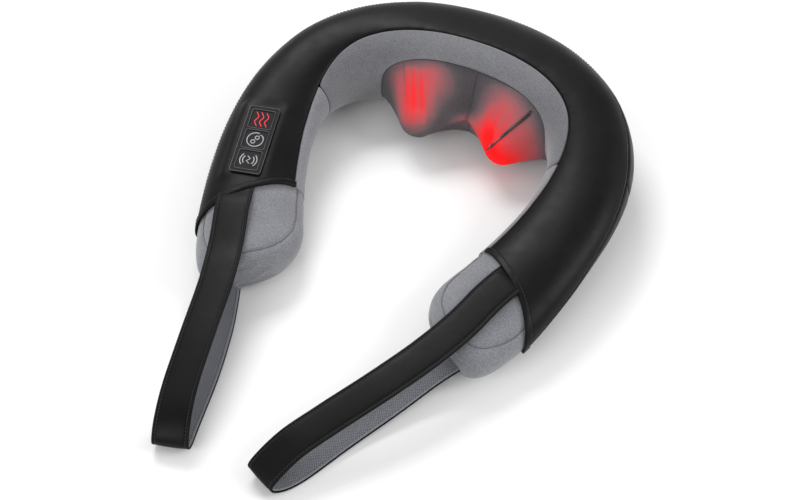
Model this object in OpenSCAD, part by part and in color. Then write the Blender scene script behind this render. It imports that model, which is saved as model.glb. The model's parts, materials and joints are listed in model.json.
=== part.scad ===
// Shiatsu neck massager: a padded collar with two rotating kneading heads, two vibration
// motors in its arms, a three-button control pad and two hand loops.
// Millimetres. +Z up, +X to the wearer's left arm, -Y towards the open end of the collar.
// The origin is on the resting plane, under the middle of the collar's bounding box in X and Y.

/* [Collar] */
// Height of the collar's mid plane above the resting plane
mid_h = 43.8; // [43.6:0.1:44]
// Depth of the back of the collar, front to back
back_depth = 104; // [102:1:106]
// Height of the back of the collar
back_height = 90; // [88:1:92]
// Width of each arm
arm_width = 82; // [78:1:86]
// Thickness of each arm at its middle
arm_height = 50; // [46:1:54]
// Thickness of the leather cover
cover_t = 1.4; // [1:0.1:1.6]
// Thickness of the foam layer
foam_t = 7.4; // [6:0.2:7.6]

/* [Straps] */
// Width of the hand loops
strap_w = 33; // [30:1:36]
// Thickness of the leather layer of a hand loop
strap_t = 1.7; // [1.4:0.1:2]
// Thickness of the mesh lining of a hand loop
lining_t = 1.1; // [0.8:0.1:1.3]

/* [Control pad] */
// Length of the control pad's frame
pad_l = 76; // [75:1:78]
// Width of the control pad's frame
pad_w = 31; // [30:0.5:32]
// Length of one button along the pad
button_l = 19; // [18:0.5:20]
// Width of one button across the pad
button_w = 20; // [18:0.5:20]

/* [Kneading drive] */
// Distance of each kneading head's spin axis from the middle of the collar
node_x = 43.5; // [43:0.1:44]
// Height of the spin axes above the mid plane
node_z = -7; // [-7.5:0.1:-6.8]
// Radius of the kneading head's dome
head_r = 17; // [16:0.5:17.5]
// Teeth on each worm wheel
wheel_teeth = 24; // [24:1:24]
// Module of the worm gears
gear_module = 1.5; // [1.5:0.1:1.5]
// Pitch radius of each worm
worm_pitch_r = 6; // [6:0.1:6]

/* [Hidden] */
$fn = 48;

// ---- Collar surface --------------------------------------------------------------------
// Half of the collar's centre line is one cubic Bezier curve from the back to an arm's end.
curve_1 = [113, 0];
curve_2 = [202, -55];
curve_3 = [115, -264];
// Section knots at the back, the shoulder, the middle of the arm and its end
half_depth = [back_depth / 2, 40.5, arm_width / 2, 50];
half_height = [back_height / 2, 42.5, arm_height / 2, 28];
drop = [0, 0, -1, -18.5];
bank = [12, 2, -3, 0];
seam_v = [72, 66, 38, 34];
section_power = [2.7, 2.3, 2.1];
ARC_STEPS = 60;

function bez(u) = let (v = 1 - u)
    3 * v * v * u * curve_1 + 3 * v * u * u * curve_2 + u * u * u * curve_3;
function bez_slope(u) = let (v = 1 - u)
    v * v * curve_1 + 2 * v * u * (curve_2 - curve_1) + u * u * (curve_3 - curve_2);
arc_points = [for (i = [0:ARC_STEPS]) bez(i / ARC_STEPS)];
arc_table = [
    for (i = 0, s = 0; i <= ARC_STEPS;
         s = s + (i < ARC_STEPS ? norm(arc_points[i + 1] - arc_points[i]) : 0), i = i + 1)
    [s, i / ARC_STEPS]
];
half_len = arc_table[ARC_STEPS][0];

// Place along the collar: t is 0 at the back, 1 at the end of the right arm's curve, -1 left
function along(t) = lookup(min(abs(t), 1) * half_len, arc_table);
function side(t) = t < 0 ? -1 : 1;
function unit(p) = p / norm(p);
function heading(t) = unit(bez_slope(along(t)));
function centre(t) = let (p = bez(along(t)) + heading(t) * max(abs(t) - 1, 0) * half_len)
    [side(t) * p.x, p.y];
function inward(t) = let (h = heading(t)) [side(t) * h.y, -h.x];

function knot(k, i) = i < 0 ? k[-i] : i > 3 ? 2 * k[3] - k[2] : k[i];
function smooth(k, t) = let (
    x = min(abs(t), 1) * 3,
    i = min(floor(x), 2),
    f = x - i,
    p0 = knot(k, i - 1), p1 = knot(k, i), p2 = knot(k, i + 1), p3 = knot(k, i + 2))
    p1 + f * ((p2 - p0) / 2
        + f * ((p0 - 2.5 * p1 + 2 * p2 - 0.5 * p3) + f * (1.5 * (p1 - p2) + 0.5 * (p3 - p0))));
function ease(x) = let (c = min(max(x, 0), 1)) c * c * (3 - 2 * c);
function signed_pow(x, e) = sign(x) * pow(abs(x), e);
function mix(a, b, f) = a + (b - a) * f;

// The end pads close in like a pillow between these places, and lead on their outer side
close_from = 0.95;
close_to = 1.13;
close_power = 3.4;
pad_lead = 0.25;
function lead(t, across) = -pad_lead * across * min(max((abs(t) - close_from) / 0.15, 0), 1);
function closing(t) = abs(t) < close_from ? 1
    : pow(max(1 - pow((abs(t) - close_from) / (close_to - close_from), close_power), 0),
          1 / close_power);

// Point of the collar's skin at place t and section angle v: 0 inner side, 90 top, 180 outer
// side, 270 underside. depth is the distance below the skin. The underside rests flat, and
// nothing reaches lower than lowest.
function skin(t, v, depth, lowest = undef) = let (
    c = centre(t),
    n = inward(t),
    k = closing(t),
    e = 2 / lookup(abs(t), [[0, section_power[0]], [0.5, section_power[1]],
                            [1, section_power[2]]]),
    u = (smooth(half_depth, t) * k - depth) * signed_pow(cos(v), e),
    w = (smooth(half_height, t) * k - depth) * signed_pow(sin(v), e),
    b = smooth(bank, t),
    across = u * cos(b) - w * sin(b),
    up = u * sin(b) + w * cos(b),
    ahead = lead(t, across))
    [c.x + n.x * across - n.y * side(t) * ahead, c.y + n.y * across + n.x * side(t) * ahead,
     max(mid_h + smooth(drop, t) + up, is_undef(lowest) ? depth : lowest)];

// Edge of the leather, and the slanted hem where it stops on the arms
function seam(t) = smooth(seam_v, t);
function hem(v) = let (a = v > 190 ? mix(190, 30, (v - 190) / 108) : v)
    0.88 + 0.107 * ease((a - 30) / 160);
outer_seam = 178;
base_seam = 298;

// ---- Closed shells and lofts ------------------------------------------------------------
function tri(q) = [[q[0], q[1], q[2]], [q[0], q[2], q[3]]];
function flat(l) = [for (a = l) for (b = a) b];

// Faces of a shell over a grid with nu rows and nv columns; wrap joins the last column to
// the first, so that the shell is a ring
function shell_faces(nu, nv, wrap) = let (
    m = nu * nv,
    cols = wrap ? nv : nv - 1)
    flat(flat([
        [for (i = [0:nu - 2], j = [0:cols - 1]) let (k = (j + 1) % nv)
            tri([i * nv + j, i * nv + k, (i + 1) * nv + k, (i + 1) * nv + j])],
        [for (i = [0:nu - 2], j = [0:cols - 1]) let (k = (j + 1) % nv)
            tri([m + i * nv + j, m + (i + 1) * nv + j, m + (i + 1) * nv + k, m + i * nv + k])],
        [for (j = [0:cols - 1]) let (k = (j + 1) % nv)
            tri([k, j, m + j, m + k])],
        [for (j = [0:cols - 1]) let (k = (j + 1) % nv, r = (nu - 1) * nv)
            tri([r + j, r + k, m + r + k, m + r + j])],
        wrap ? [] : [for (i = [0:nu - 2])
            tri([i * nv, (i + 1) * nv, m + (i + 1) * nv, m + i * nv])],
        wrap ? [] : [for (i = [0:nu - 2]) let (j = nv - 1)
            tri([(i + 1) * nv + j, i * nv + j, m + i * nv + j, m + (i + 1) * nv + j])]
    ]));

module shell_points(outside, inside, wrap = false)
    polyhedron(concat(flat(outside), flat(inside)),
               shell_faces(len(outside), len(outside[0]), wrap), convexity = 8);

// Shell between two depths under the skin, over a grid of [t, v] places
module shell(grid, depth, thick, wrap = false)
    shell_points([for (row = grid) [for (p = row) skin(p[0], p[1], depth)]],
                 [for (row = grid) [for (p = row) skin(p[0], p[1], depth + thick)]], wrap);

// Solid through a row of closed rings, capped at both ends
function loft_faces(nr, nk) = flat([
    flat([for (r = [0:nr - 2], j = [0:nk - 1]) let (k = (j + 1) % nk)
        tri([r * nk + j, r * nk + k, (r + 1) * nk + k, (r + 1) * nk + j])]),
    [for (j = [1:nk - 2]) [0, j + 1, j]],
    [for (j = [1:nk - 2]) let (r = (nr - 1) * nk) [r, r + j, r + j + 1]]
]);
module loft(rings)
    polyhedron(flat(rings), loft_faces(len(rings), len(rings[0])), convexity = 8);

// ---- Covers and panels --------------------------------------------------------------------
hem_w = 0.018;

module leather_cover() {
    nt = 42;
    nv = 9;
    color([0.13, 0.13, 0.14])
    difference() {
        leather_shell(nt, nv);
        pad_cutout(0.4, 8);
    }
}
module leather_shell(nt, nv)
    shell([for (i = [0:nt]) let (f = 2 * i / nt - 1) [for (j = [0:nv]) let (
        v = mix(seam(f * 0.87) + 1.2, outer_seam - 0.6, j / nv),
        t = f * (hem(v) - hem_w)) [t, v]]], 0, cover_t);

// Folded and stitched band along the leather's slanted edge
module hem_binding(s) {
    nv = 13;
    color([0.08, 0.08, 0.09])
    shell([for (i = [0:2]) [for (j = [0:nv]) let (
        v = s < 0 ? mix(outer_seam - 0.6, 35, j / nv) : mix(35, outer_seam - 0.6, j / nv),
        t = hem(v) - hem_w + 0.001 + i / 2 * hem_w) [s * t, v]]], -0.5, cover_t + 0.5);
}
module hem_binding_left()
    mirror([1, 0, 0]) hem_binding(1);
module hem_binding_right()
    hem_binding(1);

// Window in the neck panel, as a rounded outline in place and section angle
window_t = 0.045;
window_half_t = 0.325;
window_v = -14;
window_half_v = 46;
window_power = 3;
panel_t = 0.54;
function outline_k(a, p) = pow(pow(abs(cos(a)), p) + pow(abs(sin(a)), p), -1 / p);
function window_edge(a) = let (k = outline_k(a, window_power))
    [window_t + window_half_t * cos(a) * k, window_v + window_half_v * sin(a) * k];
function panel_edge(a) = let (
    k = outline_k(a, 60),
    x = cos(a) * k,
    y = sin(a) * k,
    t = x * panel_t)
    [t, y > 0 ? mix(window_v, seam(t) - 0.6, y) : mix(window_v, base_seam - 360 - 14, -y)];

// Directions from the window's middle, evenly spaced along the panel's long and short sides
ring_long = 28;
ring_short = 8;
ring_angles = concat(
    [for (i = [0:ring_long - 1]) atan2(1, 1 - 2 * i / ring_long)],
    [for (i = [0:ring_short - 1]) atan2(1 - 2 * i / ring_short, -1)],
    [for (i = [0:ring_long - 1]) atan2(-1, 2 * i / ring_long - 1)],
    [for (i = [0:ring_short - 1]) atan2(2 * i / ring_short - 1, 1)]);

module neck_ring(depth, thick, inset, steps)
    shell([for (i = [0:steps]) [for (a = ring_angles)
        mix(window_edge(a), panel_edge(a), inset + (1 - inset * 1.6) * i / steps)]],
        depth, thick, true);
module neck_panel() {
    color([0.55, 0.56, 0.6]) neck_ring(0, 1.2, 0, 4);
}

// Grey strip along the inner side of an arm, from the neck panel to the hem
module arm_lining(s) {
    nt = 14;
    nv = 6;
    color([0.5, 0.51, 0.55])
    shell([for (i = [0:nt]) [for (j = [0:nv]) let (
        f = j / nv,
        t_end = hem(max(30, seam(0.9) * f)),
        t = mix(panel_t + 0.002, t_end, i / nt),
        v = mix(base_seam - 360 + 0.6, seam(t) - 0.6, f)) [t, v]]], 0, 1.2);
}
module arm_lining_left()
    mirror([1, 0, 0]) arm_lining(1);
module arm_lining_right()
    arm_lining(1);

// Underside panels; the neck panel wraps a little further under the back than the linings do
module base_panel(t0, t1, nt, v1) {
    nv = 8;
    color([0.1, 0.1, 0.11])
    shell([for (i = [0:nt]) [for (j = [0:nv]) let (
        v = mix(outer_seam + 0.6, v1, j / nv),
        t = mix(t0, t1, i / nt)) [t, v]]], 0, cover_t);
}
module base_panel_back()
    base_panel(-panel_t + 0.001, panel_t - 0.001, 26, base_seam - 14.6);
module base_panel_arm() {
    nt = 12;
    nv = 8;
    color([0.1, 0.1, 0.11])
    shell([for (i = [0:nt]) [for (j = [0:nv]) let (
        v = mix(outer_seam + 0.6, base_seam - 0.6, j / nv),
        t = mix(panel_t + 0.001, hem(v), i / nt)) [t, v]]], 0, cover_t);
}
module base_panel_left()
    difference() {
        mirror([1, 0, 0]) base_panel_arm();
        socket_axis() translate([0, 0, -socket_l - 1]) cylinder(r = socket_r + 0.2, h = 30);
    }
module base_panel_right()
    base_panel_arm();

// ---- Stretch fabric over the kneading heads ---------------------------------------------
// Middle of each head at rest: both heads stand off their spin axes to the same side
head_dx = 12;
head_dz = -5;
head_y = -75;
bulge_r = 44;
bulge_y = head_y - head_r - 2.4;
bulge_fill = 1.12;
fabric_split = 0.045;
fabric_inset = 0.975;
function tent(p, x) = let (r = norm([p.x - x, p.z - mid_h - node_z - head_dz]))
    r < bulge_r ? pow(cos(90 * r / bulge_r), 1.2) : 0;
function bulge(p) = min(bulge_fill * (tent(p, head_dx - node_x) + tent(p, head_dx + node_x)), 1);
function fabric_point(t, y, depth) = let (
    x = (t - window_t) / window_half_t,
    h = window_half_v * pow(max(1 - pow(abs(x), window_power), 0), 1 / window_power),
    p = skin(t, window_v + y * h, depth),
    edge = 1 - pow(abs(y), 9),
    side_edge = 1 - pow(abs(x), 9))
    [p.x, mix(p.y, bulge_y + depth, bulge(p) * edge * side_edge), p.z];

function fabric_grid(t0, t1, depth) = let (nt = 18, nv = 16)
    [for (i = [0:nt]) [for (j = [0:nv])
        fabric_point(mix(t0, t1, i / nt), fabric_inset * (2 * j / nv - 1), depth)]];
module window_fabric(t0, t1)
    color([0.75, 0.18, 0.18])
    shell_points(fabric_grid(t0, t1, 0.3), fabric_grid(t0, t1, 1.1));
module window_fabric_left()
    window_fabric(window_t - window_half_t * fabric_inset, fabric_split - 0.0006);
module window_fabric_right()
    window_fabric(fabric_split + 0.0006, window_t + window_half_t * fabric_inset);

// ---- End pads and foam ------------------------------------------------------------------
pad_depth = 2.0;
foam_gap = 1.2;
module end_pad() {
    rows = 13;
    spokes = 24;
    loft([for (i = [0:rows]) let (f = i / rows, t = mix(0.865, close_to - 0.0012, 1 - pow(1 - f, 1.7)))
        [for (j = [0:spokes - 1]) skin(t, 360 * j / spokes, pad_depth * closing(t), 0)]]);
}
module end_pad_left() {
    color([0.52, 0.53, 0.57])
    difference() {
        mirror([1, 0, 0]) end_pad();
        pad_cutout(0.4, 7);
    }
}
module end_pad_right()
    color([0.52, 0.53, 0.57]) end_pad();

module foam_back() {
    nt = 22;
    nv = 8;
    color([0.85, 0.82, 0.7])
    shell([for (i = [0:nt]) [for (j = [0:nv]) let (
        t = mix(-0.545, 0.545, i / nt)) [t, mix(seam(t) + 4, 282.5, j / nv)]]],
        cover_t + foam_gap, foam_t);
}
module foam_neck() {
    color([0.85, 0.82, 0.7]) neck_ring(cover_t + foam_gap - 0.5, 4, 0.06, 3);
}

// Foam tube in each arm; its hollow core holds the vibration motor and the wires
core_half_w = 24;
core_half_h = 12.5;
function core(t, v) = let (c = centre(t), n = inward(t), u = core_half_w * cos(v))
    [c.x + n.x * u, c.y + n.y * u, mid_h + smooth(drop, t) + core_half_h * sin(v)];
module foam_arm() {
    nt = 12;
    spokes = 20;
    places = [for (i = [0:nt]) mix(0.555, 0.862, i / nt)];
    color([0.85, 0.82, 0.7])
    shell_points([for (t = places) [for (j = [0:spokes - 1]) skin(t, 360 * j / spokes, cover_t + foam_gap)]],
                 [for (t = places) [for (j = [0:spokes - 1]) core(t, 360 * j / spokes)]], true);
}
module foam_arm_left() {
    color([0.85, 0.82, 0.7])
    difference() {
        mirror([1, 0, 0]) foam_arm();
        pad_cutout(0.4, 5.3);
        on_pad() translate([0, 0, -14]) cylinder(r = 4, h = 12);
        socket_axis() translate([0, 0, -socket_l - 1]) cylinder(r = socket_r + 0.2, h = 30);
    }
}
module foam_arm_right()
    foam_arm();

// ---- Hand loops ---------------------------------------------------------------------------
// Middle line of each loop's outer face: from the hem, round the tip, back into the pad
strap_line_left = [
    [-134.9, -251, 56.3], [-131.4, -263, 55], [-120, -296, 51.6], [-109.4, -334, 48.8],
    [-100, -385, 43], [-91, -435, 35.5], [-83, -466, 28], [-78, -483, 15.5],
    [-81, -479, 4], [-88, -455, 0.4],
    [-98, -405, 2], [-107, -360, 6.5], [-112, -332, 13], [-114.3, -318, 16.5]
];
strap_line_right = [
    [126.3, -242.5, 57.6], [118.4, -263, 55.3], [108, -296, 52.1], [91.6, -334, 48.8],
    [69, -375, 44], [40, -420, 35.5], [20, -452, 28], [7, -481, 15.5], [11, -477, 4], [24, -457, 0.4],
    [48, -415, 2], [74, -370, 7], [94.5, -331.5, 14], [105, -310.5, 19.5]
];
strap_across_left = [0.955, 0.24, 0.17];
strap_across_right = [0.9, -0.44, 0];
// The upper end is cut along the slanted hem
strap_slant_left = -0.8;
strap_slant_right = 0.45;

function spline(p, x) = let (
    n = len(p) - 1,
    i = min(floor(x), n - 1),
    f = x - i,
    p0 = p[max(i - 1, 0)], p1 = p[i], p2 = p[i + 1], p3 = p[min(i + 2, n)])
    p1 + f * ((p2 - p0) / 2
        + f * ((p0 - 2.5 * p1 + 2 * p2 - 0.5 * p3) + f * (1.5 * (p1 - p2) + 0.5 * (p3 - p0))));

// Band of the loop between two distances inside its outer face
module band(line, across, slant, from, to, w) {
    steps = 4;
    count = (len(line) - 1) * steps;
    loft([for (i = [0:count]) let (
        x = i / steps,
        p = spline(line, x),
        way = unit(spline(line, min(x + 0.05, len(line) - 1)) - spline(line, max(x - 0.05, 0))),
        straight = unit([across.x, across.y, across.z * (1 - ease((x - 5) / 3))]),
        half = (straight + way * slant * (1 - ease(x / 1.5))) * w / 2,
        inner = unit(cross(half, way)))
        [p - half + inner * from, p + half + inner * from,
         p + half + inner * to, p - half + inner * to]]);
}
module strap_band(s, from, to, w)
    band(s < 0 ? strap_line_left : strap_line_right,
         s < 0 ? strap_across_left : strap_across_right,
         s < 0 ? strap_slant_left : strap_slant_right, from, to, w);
module strap_left()
    color([0.12, 0.12, 0.13]) strap_band(-1, 0, strap_t, strap_w);
module strap_right()
    color([0.12, 0.12, 0.13]) strap_band(1, 0, strap_t, strap_w);
module strap_lining_left()
    color([0.5, 0.51, 0.55]) strap_band(-1, strap_t + 0.02, strap_t + lining_t, strap_w - 1.5);
module strap_lining_right()
    color([0.5, 0.51, 0.55]) strap_band(1, strap_t + 0.02, strap_t + lining_t, strap_w - 1.5);

// ---- Drive housing -------------------------------------------------------------------------
// The drive stands upright in the back. Its gears, worms and motor share one plane, drive_y.
pitch_r = gear_module * wheel_teeth / 2;
axis_z = mid_h + node_z;
worm_z = axis_z + pitch_r + worm_pitch_r;
drive_y = 4;
split_y = -10.6;
rear_y = 20;
front_t = 2.4;
wall = 2.2;
lobe_r = 24;
worm_top = 10;
corridor_x = 64;
motor_r = 10.5;
motor_l = 34;
motor_bay_x = 19.6;
shaft_r = 1.5;
axle_r = 4;
bush_r = 7;
bush_t = 2.6;
fit = 0.05;
screw_r = 1.5;
screw_places = [[-29, 22], [29, 22], [-20, -13], [20, -13]];
boss_r = 3.2;

// Rod along Y from y0 to y1
module rod_y(x, z, r, y0, y1)
    translate([x, y0, z]) rotate([-90, 0, 0]) cylinder(r = r, h = y1 - y0);
// Rod along X
module rod_x(y, z, r, x0, x1)
    translate([x0, y, z]) rotate([0, 90, 0]) cylinder(r = r, h = x1 - x0);
// Plate in the drive's upright plane, from y0 to y1
module plate_y(y0, y1)
    translate([0, y1, 0]) rotate([90, 0, 0]) linear_extrude(height = y1 - y0) children();

module housing_outline(inset) {
    for (s = [-1, 1])
        translate([s * node_x, axis_z]) circle(r = lobe_r - inset, $fn = 72);
    translate([-corridor_x + inset, axis_z]) square([2 * (corridor_x - inset),
                                                     worm_z + worm_top - axis_z - inset]);
    translate([-motor_bay_x + inset, axis_z])
        square([2 * (motor_bay_x - inset), worm_z + motor_r + wall - axis_z - inset + 0.2]);
    translate([-node_x, axis_z - 17 + inset]) square([2 * node_x, 17]);
}

bush_end_x = 59;
rib_t = 3;
module rear_housing() {
    color([0.16, 0.16, 0.17]) {
        difference() {
            union() {
                difference() {
                    plate_y(split_y, rear_y) housing_outline(0);
                    plate_y(split_y - 1, rear_y - wall) housing_outline(wall);
                }
                for (s = [-1, 1])
                    rod_y(s * node_x, axis_z, bush_r + 2.4, rear_y - 6, rear_y - 1);
                for (p = screw_places)
                    rod_y(p.x, mid_h + p.y, boss_r, split_y, rear_y - 1);
                for (s = [-1, 1])
                    translate([s * bush_end_x - rib_t / 2, -2, worm_z - 7])
                        cube([rib_t, rear_y - 1 + 2, 12]);
                for (s = [-1, 1])
                    translate([s * 12 - 1.5, drive_y + 3, worm_z - 9])
                        cube([3, rear_y - drive_y - 4, 18]);
                for (x = [-12, 12], z = [-15.5, -5])
                    rod_y(x, mid_h + z, 2, 10, rear_y - 1);
            }
            for (s = [-1, 1])
                rod_y(s * node_x, axis_z, bush_r, rear_y - 7, rear_y - 6 + bush_t + 1.4);
            for (p = screw_places)
                rod_y(p.x, mid_h + p.y, screw_r, split_y - 1, split_y + 12);
            rod_x(drive_y, worm_z, 4.5, -bush_end_x - 4, -bush_end_x + 4);
            rod_x(drive_y, worm_z, 4.5, bush_end_x - 4, bush_end_x + 4);
            for (s = [-1, 1])
                translate([s * bush_end_x - 4, -3, worm_z - 4.5]) cube([8, drive_y + 3, 9]);
            rod_x(drive_y, worm_z, motor_r + fit, -16, 16);
        }
    }
}

module front_housing() {
    color([0.2, 0.2, 0.21])
    difference() {
        union() {
            plate_y(split_y - front_t, split_y - 0.02) housing_outline(0);
            for (s = [-1, 1])
                rod_y(s * node_x, axis_z, bush_r + 2.4, split_y - front_t, split_y + 4);
        }
        for (s = [-1, 1])
            rod_y(s * node_x, axis_z, bush_r, split_y - front_t - 1, split_y + 5);
        for (p = screw_places)
            rod_y(p.x, mid_h + p.y, screw_r + 0.1, split_y - front_t - 1, split_y + 1);
    }
}

module screw_y(x, z, r, length, head_r, head_t, y) {
    rod_y(x, z, r, y, y + length);
    difference() {
        rod_y(x, z, head_r, y - head_t, y);
        plate_y(y - head_t - 1, y - head_t + 0.9)
            translate([x, z]) {
                square([head_r * 1.2, 0.8], center = true);
                square([0.8, head_r * 1.2], center = true);
            }
    }
}
module housing_screws() {
    color([0.7, 0.7, 0.72])
    for (p = screw_places)
        screw_y(p.x, mid_h + p.y, screw_r - 0.03, 13, 2.8, 1.8, split_y - front_t);
}

// ---- Motor, worm shaft and worms ------------------------------------------------------------
module drive_motor() {
    color([0.72, 0.72, 0.74])
    difference() {
        union() {
            rod_x(drive_y, worm_z, motor_r, -motor_l / 2, motor_l / 2);
            rod_x(drive_y, worm_z, 3.5, -motor_l / 2 - 1.5, motor_l / 2 + 1.5);
        }
        rod_x(drive_y, worm_z, shaft_r + fit, -motor_l, motor_l);
    }
    color([0.8, 0.6, 0.25])
    for (s = [-1, 1])
        translate([15, drive_y - 0.4 + s * 3, worm_z - motor_r - 3])
            cube([2.4, 0.8, 3.6]);
}

shaft_end_x = 61.5;
module worm_shaft() {
    color([0.78, 0.78, 0.8])
    rod_x(drive_y, worm_z, shaft_r, -shaft_end_x, shaft_end_x);
}

// A worm whose thread is an offset circle twisted along its length; hand is 1 for a
// right-hand thread and -1 for a left-hand one. A groove faces down at its middle.
lead = PI * gear_module;
worm_turns = 4;
thread_depth = 1.5;
module worm(x, hand) {
    color([0.82, 0.82, 0.78])
    translate([x, drive_y, worm_z]) rotate([0, 90, 0])
    difference() {
        linear_extrude(height = worm_turns * lead, center = true,
                       twist = -hand * 360 * worm_turns, slices = 40)
            rotate(180) translate([thread_depth, 0]) circle(r = worm_pitch_r, $fn = 16);
        cylinder(r = shaft_r + 0.01, h = 80, center = true);
    }
}
module worm_left()
    worm(-node_x, 1);
module worm_right()
    worm(node_x, -1);

module worm_shaft_bushes() {
    color([0.75, 0.55, 0.25])
    for (s = [-1, 1])
        difference() {
            rod_x(drive_y, worm_z, 4.45, s * bush_end_x - 2, s * bush_end_x + 2);
            rod_x(drive_y, worm_z, shaft_r + fit, s * bush_end_x - 3, s * bush_end_x + 3);
        }
}

// ---- Worm wheels and output shafts -----------------------------------------------------------
wheel_t = 4;
tip_r = pitch_r + 0.6;
root_r = pitch_r - 1.9;
module worm_wheel(x) {
    color([0.9, 0.88, 0.8])
    difference() {
        union() {
            plate_y(drive_y - wheel_t / 2, drive_y + wheel_t / 2) translate([x, axis_z]) {
                circle(r = root_r, $fn = 96);
                for (i = [0:wheel_teeth - 1])
                    rotate(90 + i * 360 / wheel_teeth)
                        polygon([[root_r - 0.6, -1.25], [pitch_r, -0.62], [tip_r, -0.36],
                                 [tip_r, 0.36], [pitch_r, 0.62], [root_r - 0.6, 1.25]]);
            }
            rod_y(x, axis_z, 7.5, drive_y - 6, drive_y + 6);
        }
        rod_y(x, axis_z, axle_r + 0.01, drive_y - 20, drive_y + 20);
    }
}
module worm_wheel_left()
    worm_wheel(-node_x);
module worm_wheel_right()
    worm_wheel(node_x);

shaft_back_y = rear_y - 3;
carrier_y = -20;
carrier_t = 4;
module output_shaft(x) {
    color([0.76, 0.76, 0.78])
    difference() {
        rod_y(x, axis_z, axle_r, carrier_y - carrier_t + 0.5, shaft_back_y);
        rod_y(x, axis_z, 1.25, carrier_y - carrier_t, carrier_y + 8);
    }
}
module output_shaft_left()
    output_shaft(-node_x);
module output_shaft_right()
    output_shaft(node_x);

module output_bushes() {
    color([0.75, 0.55, 0.25])
    for (s = [-1, 1], y = [rear_y - 5.6, split_y - front_t])
        let (t = y > 0 ? bush_t : 5)
        difference() {
            rod_y(s * node_x, axis_z, bush_r - 0.02, y, y + t);
            rod_y(s * node_x, axis_z, axle_r + fit, y - 1, y + t + 1);
        }
}

// ---- Kneading nodes ---------------------------------------------------------------------------
disc_r = 22;
post_r = 8.5;
post_end_y = -70;
skirt_y = -60;
module node_carrier(x) {
    color([0.85, 0.85, 0.87])
    difference() {
        union() {
            rod_y(x, axis_z, disc_r, carrier_y - carrier_t, carrier_y);
            rod_y(x, axis_z, 8, carrier_y - 0.1, carrier_y + 3.4);
            rod_y(x + head_dx, axis_z + head_dz, post_r, post_end_y, carrier_y - 0.1);
        }
        rod_y(x, axis_z, axle_r + 0.01, carrier_y - carrier_t + 0.5, carrier_y + 6);
        rod_y(x, axis_z, 1.5, carrier_y - carrier_t - 1, carrier_y);
        rod_y(x + head_dx, axis_z + head_dz, 1.25, post_end_y - 1, post_end_y + 10);
    }
}
module node_carrier_left()
    node_carrier(-node_x);
module node_carrier_right()
    node_carrier(node_x);

module kneading_head(x) {
    color([0.9, 0.25, 0.22, 0.9])
    translate([x + head_dx, head_y, axis_z + head_dz]) rotate([90, 0, 0])
        rotate_extrude($fn = 64)
            difference() {
                intersection() {
                    union() {
                        circle(r = head_r, $fn = 72);
                        translate([0, head_y - skirt_y]) square([head_r, skirt_y - head_y]);
                    }
                    translate([0, head_y - skirt_y]) square([head_r + 1, 60]);
                }
                translate([-1, head_y - skirt_y - 1])
                    square([post_r + 1.01, skirt_y - post_end_y + 1.05]);
            }
}
module kneading_head_left()
    kneading_head(-node_x);
module kneading_head_right()
    kneading_head(node_x);

module carrier_screw(x) {
    color([0.7, 0.7, 0.72])
    screw_y(x, axis_z, 1.22, 7, 2.6, 1.6, carrier_y - carrier_t);
}
module carrier_screws_left()
    carrier_screw(-node_x);
module carrier_screws_right()
    carrier_screw(node_x);

// ---- Heat: ring boards with red LEDs on the housing's front, round each output shaft ------------
led_board_y = split_y - front_t - 0.02;
led_board_t = 1.2;
led_ring_r = 15.5;
leds_per_ring = 8;
module heat_led_boards() {
    color([0.12, 0.35, 0.2])
    for (s = [-1, 1])
        difference() {
            rod_y(s * node_x, axis_z, 19, led_board_y - led_board_t, led_board_y);
            rod_y(s * node_x, axis_z, 11.5, led_board_y - 3, led_board_y + 1);
        }
}
module heat_leds() {
    color([0.9, 0.1, 0.1])
    for (s = [-1, 1], i = [0:leds_per_ring - 1])
        let (a = 360 * (i + 0.5) / leds_per_ring)
        rod_y(s * node_x + led_ring_r * cos(a), axis_z + led_ring_r * sin(a), 1.6,
              led_board_y - led_board_t - 1.8, led_board_y - led_board_t - 0.02);
}

module driver_board() {
    color([0.1, 0.4, 0.2])
    translate([-16, 8.4, mid_h - 18.5]) cube([32, 1.58, 17]);
    color([0.15, 0.15, 0.15])
    translate([-5, 6.4, mid_h - 14]) cube([10, 1.98, 8]);
    color([0.9, 0.88, 0.8])
    for (x = [-14, 8])
        translate([x, 3.4, mid_h - 8]) cube([6, 4.98, 5]);
}

// ---- Vibration motors ---------------------------------------------------------------------------
vibe_x = 150;
vibe_y = -124;
vibe_r = 8;
vibe_l = 20;
weight_r = 7;
weight_t = 7;
weight_gap = 1.2;
pin_r = 1;
module vibration_motor(s) {
    color([0.74, 0.74, 0.76])
    difference() {
        rod_y(s * vibe_x, mid_h, vibe_r, vibe_y, vibe_y + vibe_l);
        rod_y(s * vibe_x, mid_h, pin_r + fit, vibe_y - 1, vibe_y + 8);
    }
}
module vibration_motor_left()
    vibration_motor(-1);
module vibration_motor_right()
    vibration_motor(1);

// Half-round weight on its spindle
module vibration_weight(s) {
    color([0.6, 0.6, 0.62]) {
        intersection() {
            rod_y(s * vibe_x, mid_h, weight_r, vibe_y - weight_gap - weight_t, vibe_y - weight_gap);
            translate([s * vibe_x - 10, vibe_y - 20, mid_h - 20]) cube([20, 30, 22]);
        }
        rod_y(s * vibe_x, mid_h, pin_r, vibe_y - weight_gap - 0.5, vibe_y + 7);
    }
}
module vibration_weight_left()
    vibration_weight(-1);
module vibration_weight_right()
    vibration_weight(1);

// ---- Control pad on the left arm --------------------------------------------------------------------
pad_at = [-146.1, -185.9, mid_h + 16.4];
pad_turn = 11;
pad_tilt = 1.4;
pad_pitch = 7;
pad_t = 4;
pad_corner = 5;
button_pitch = 23;
flange_z = -1.4;
flange_t = 0.9;
// The pad's own frame: X across the arm, Y along it towards the back, Z out of the pad
module on_pad()
    translate(pad_at) rotate([pad_pitch, -pad_tilt, pad_turn]) children();
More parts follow.
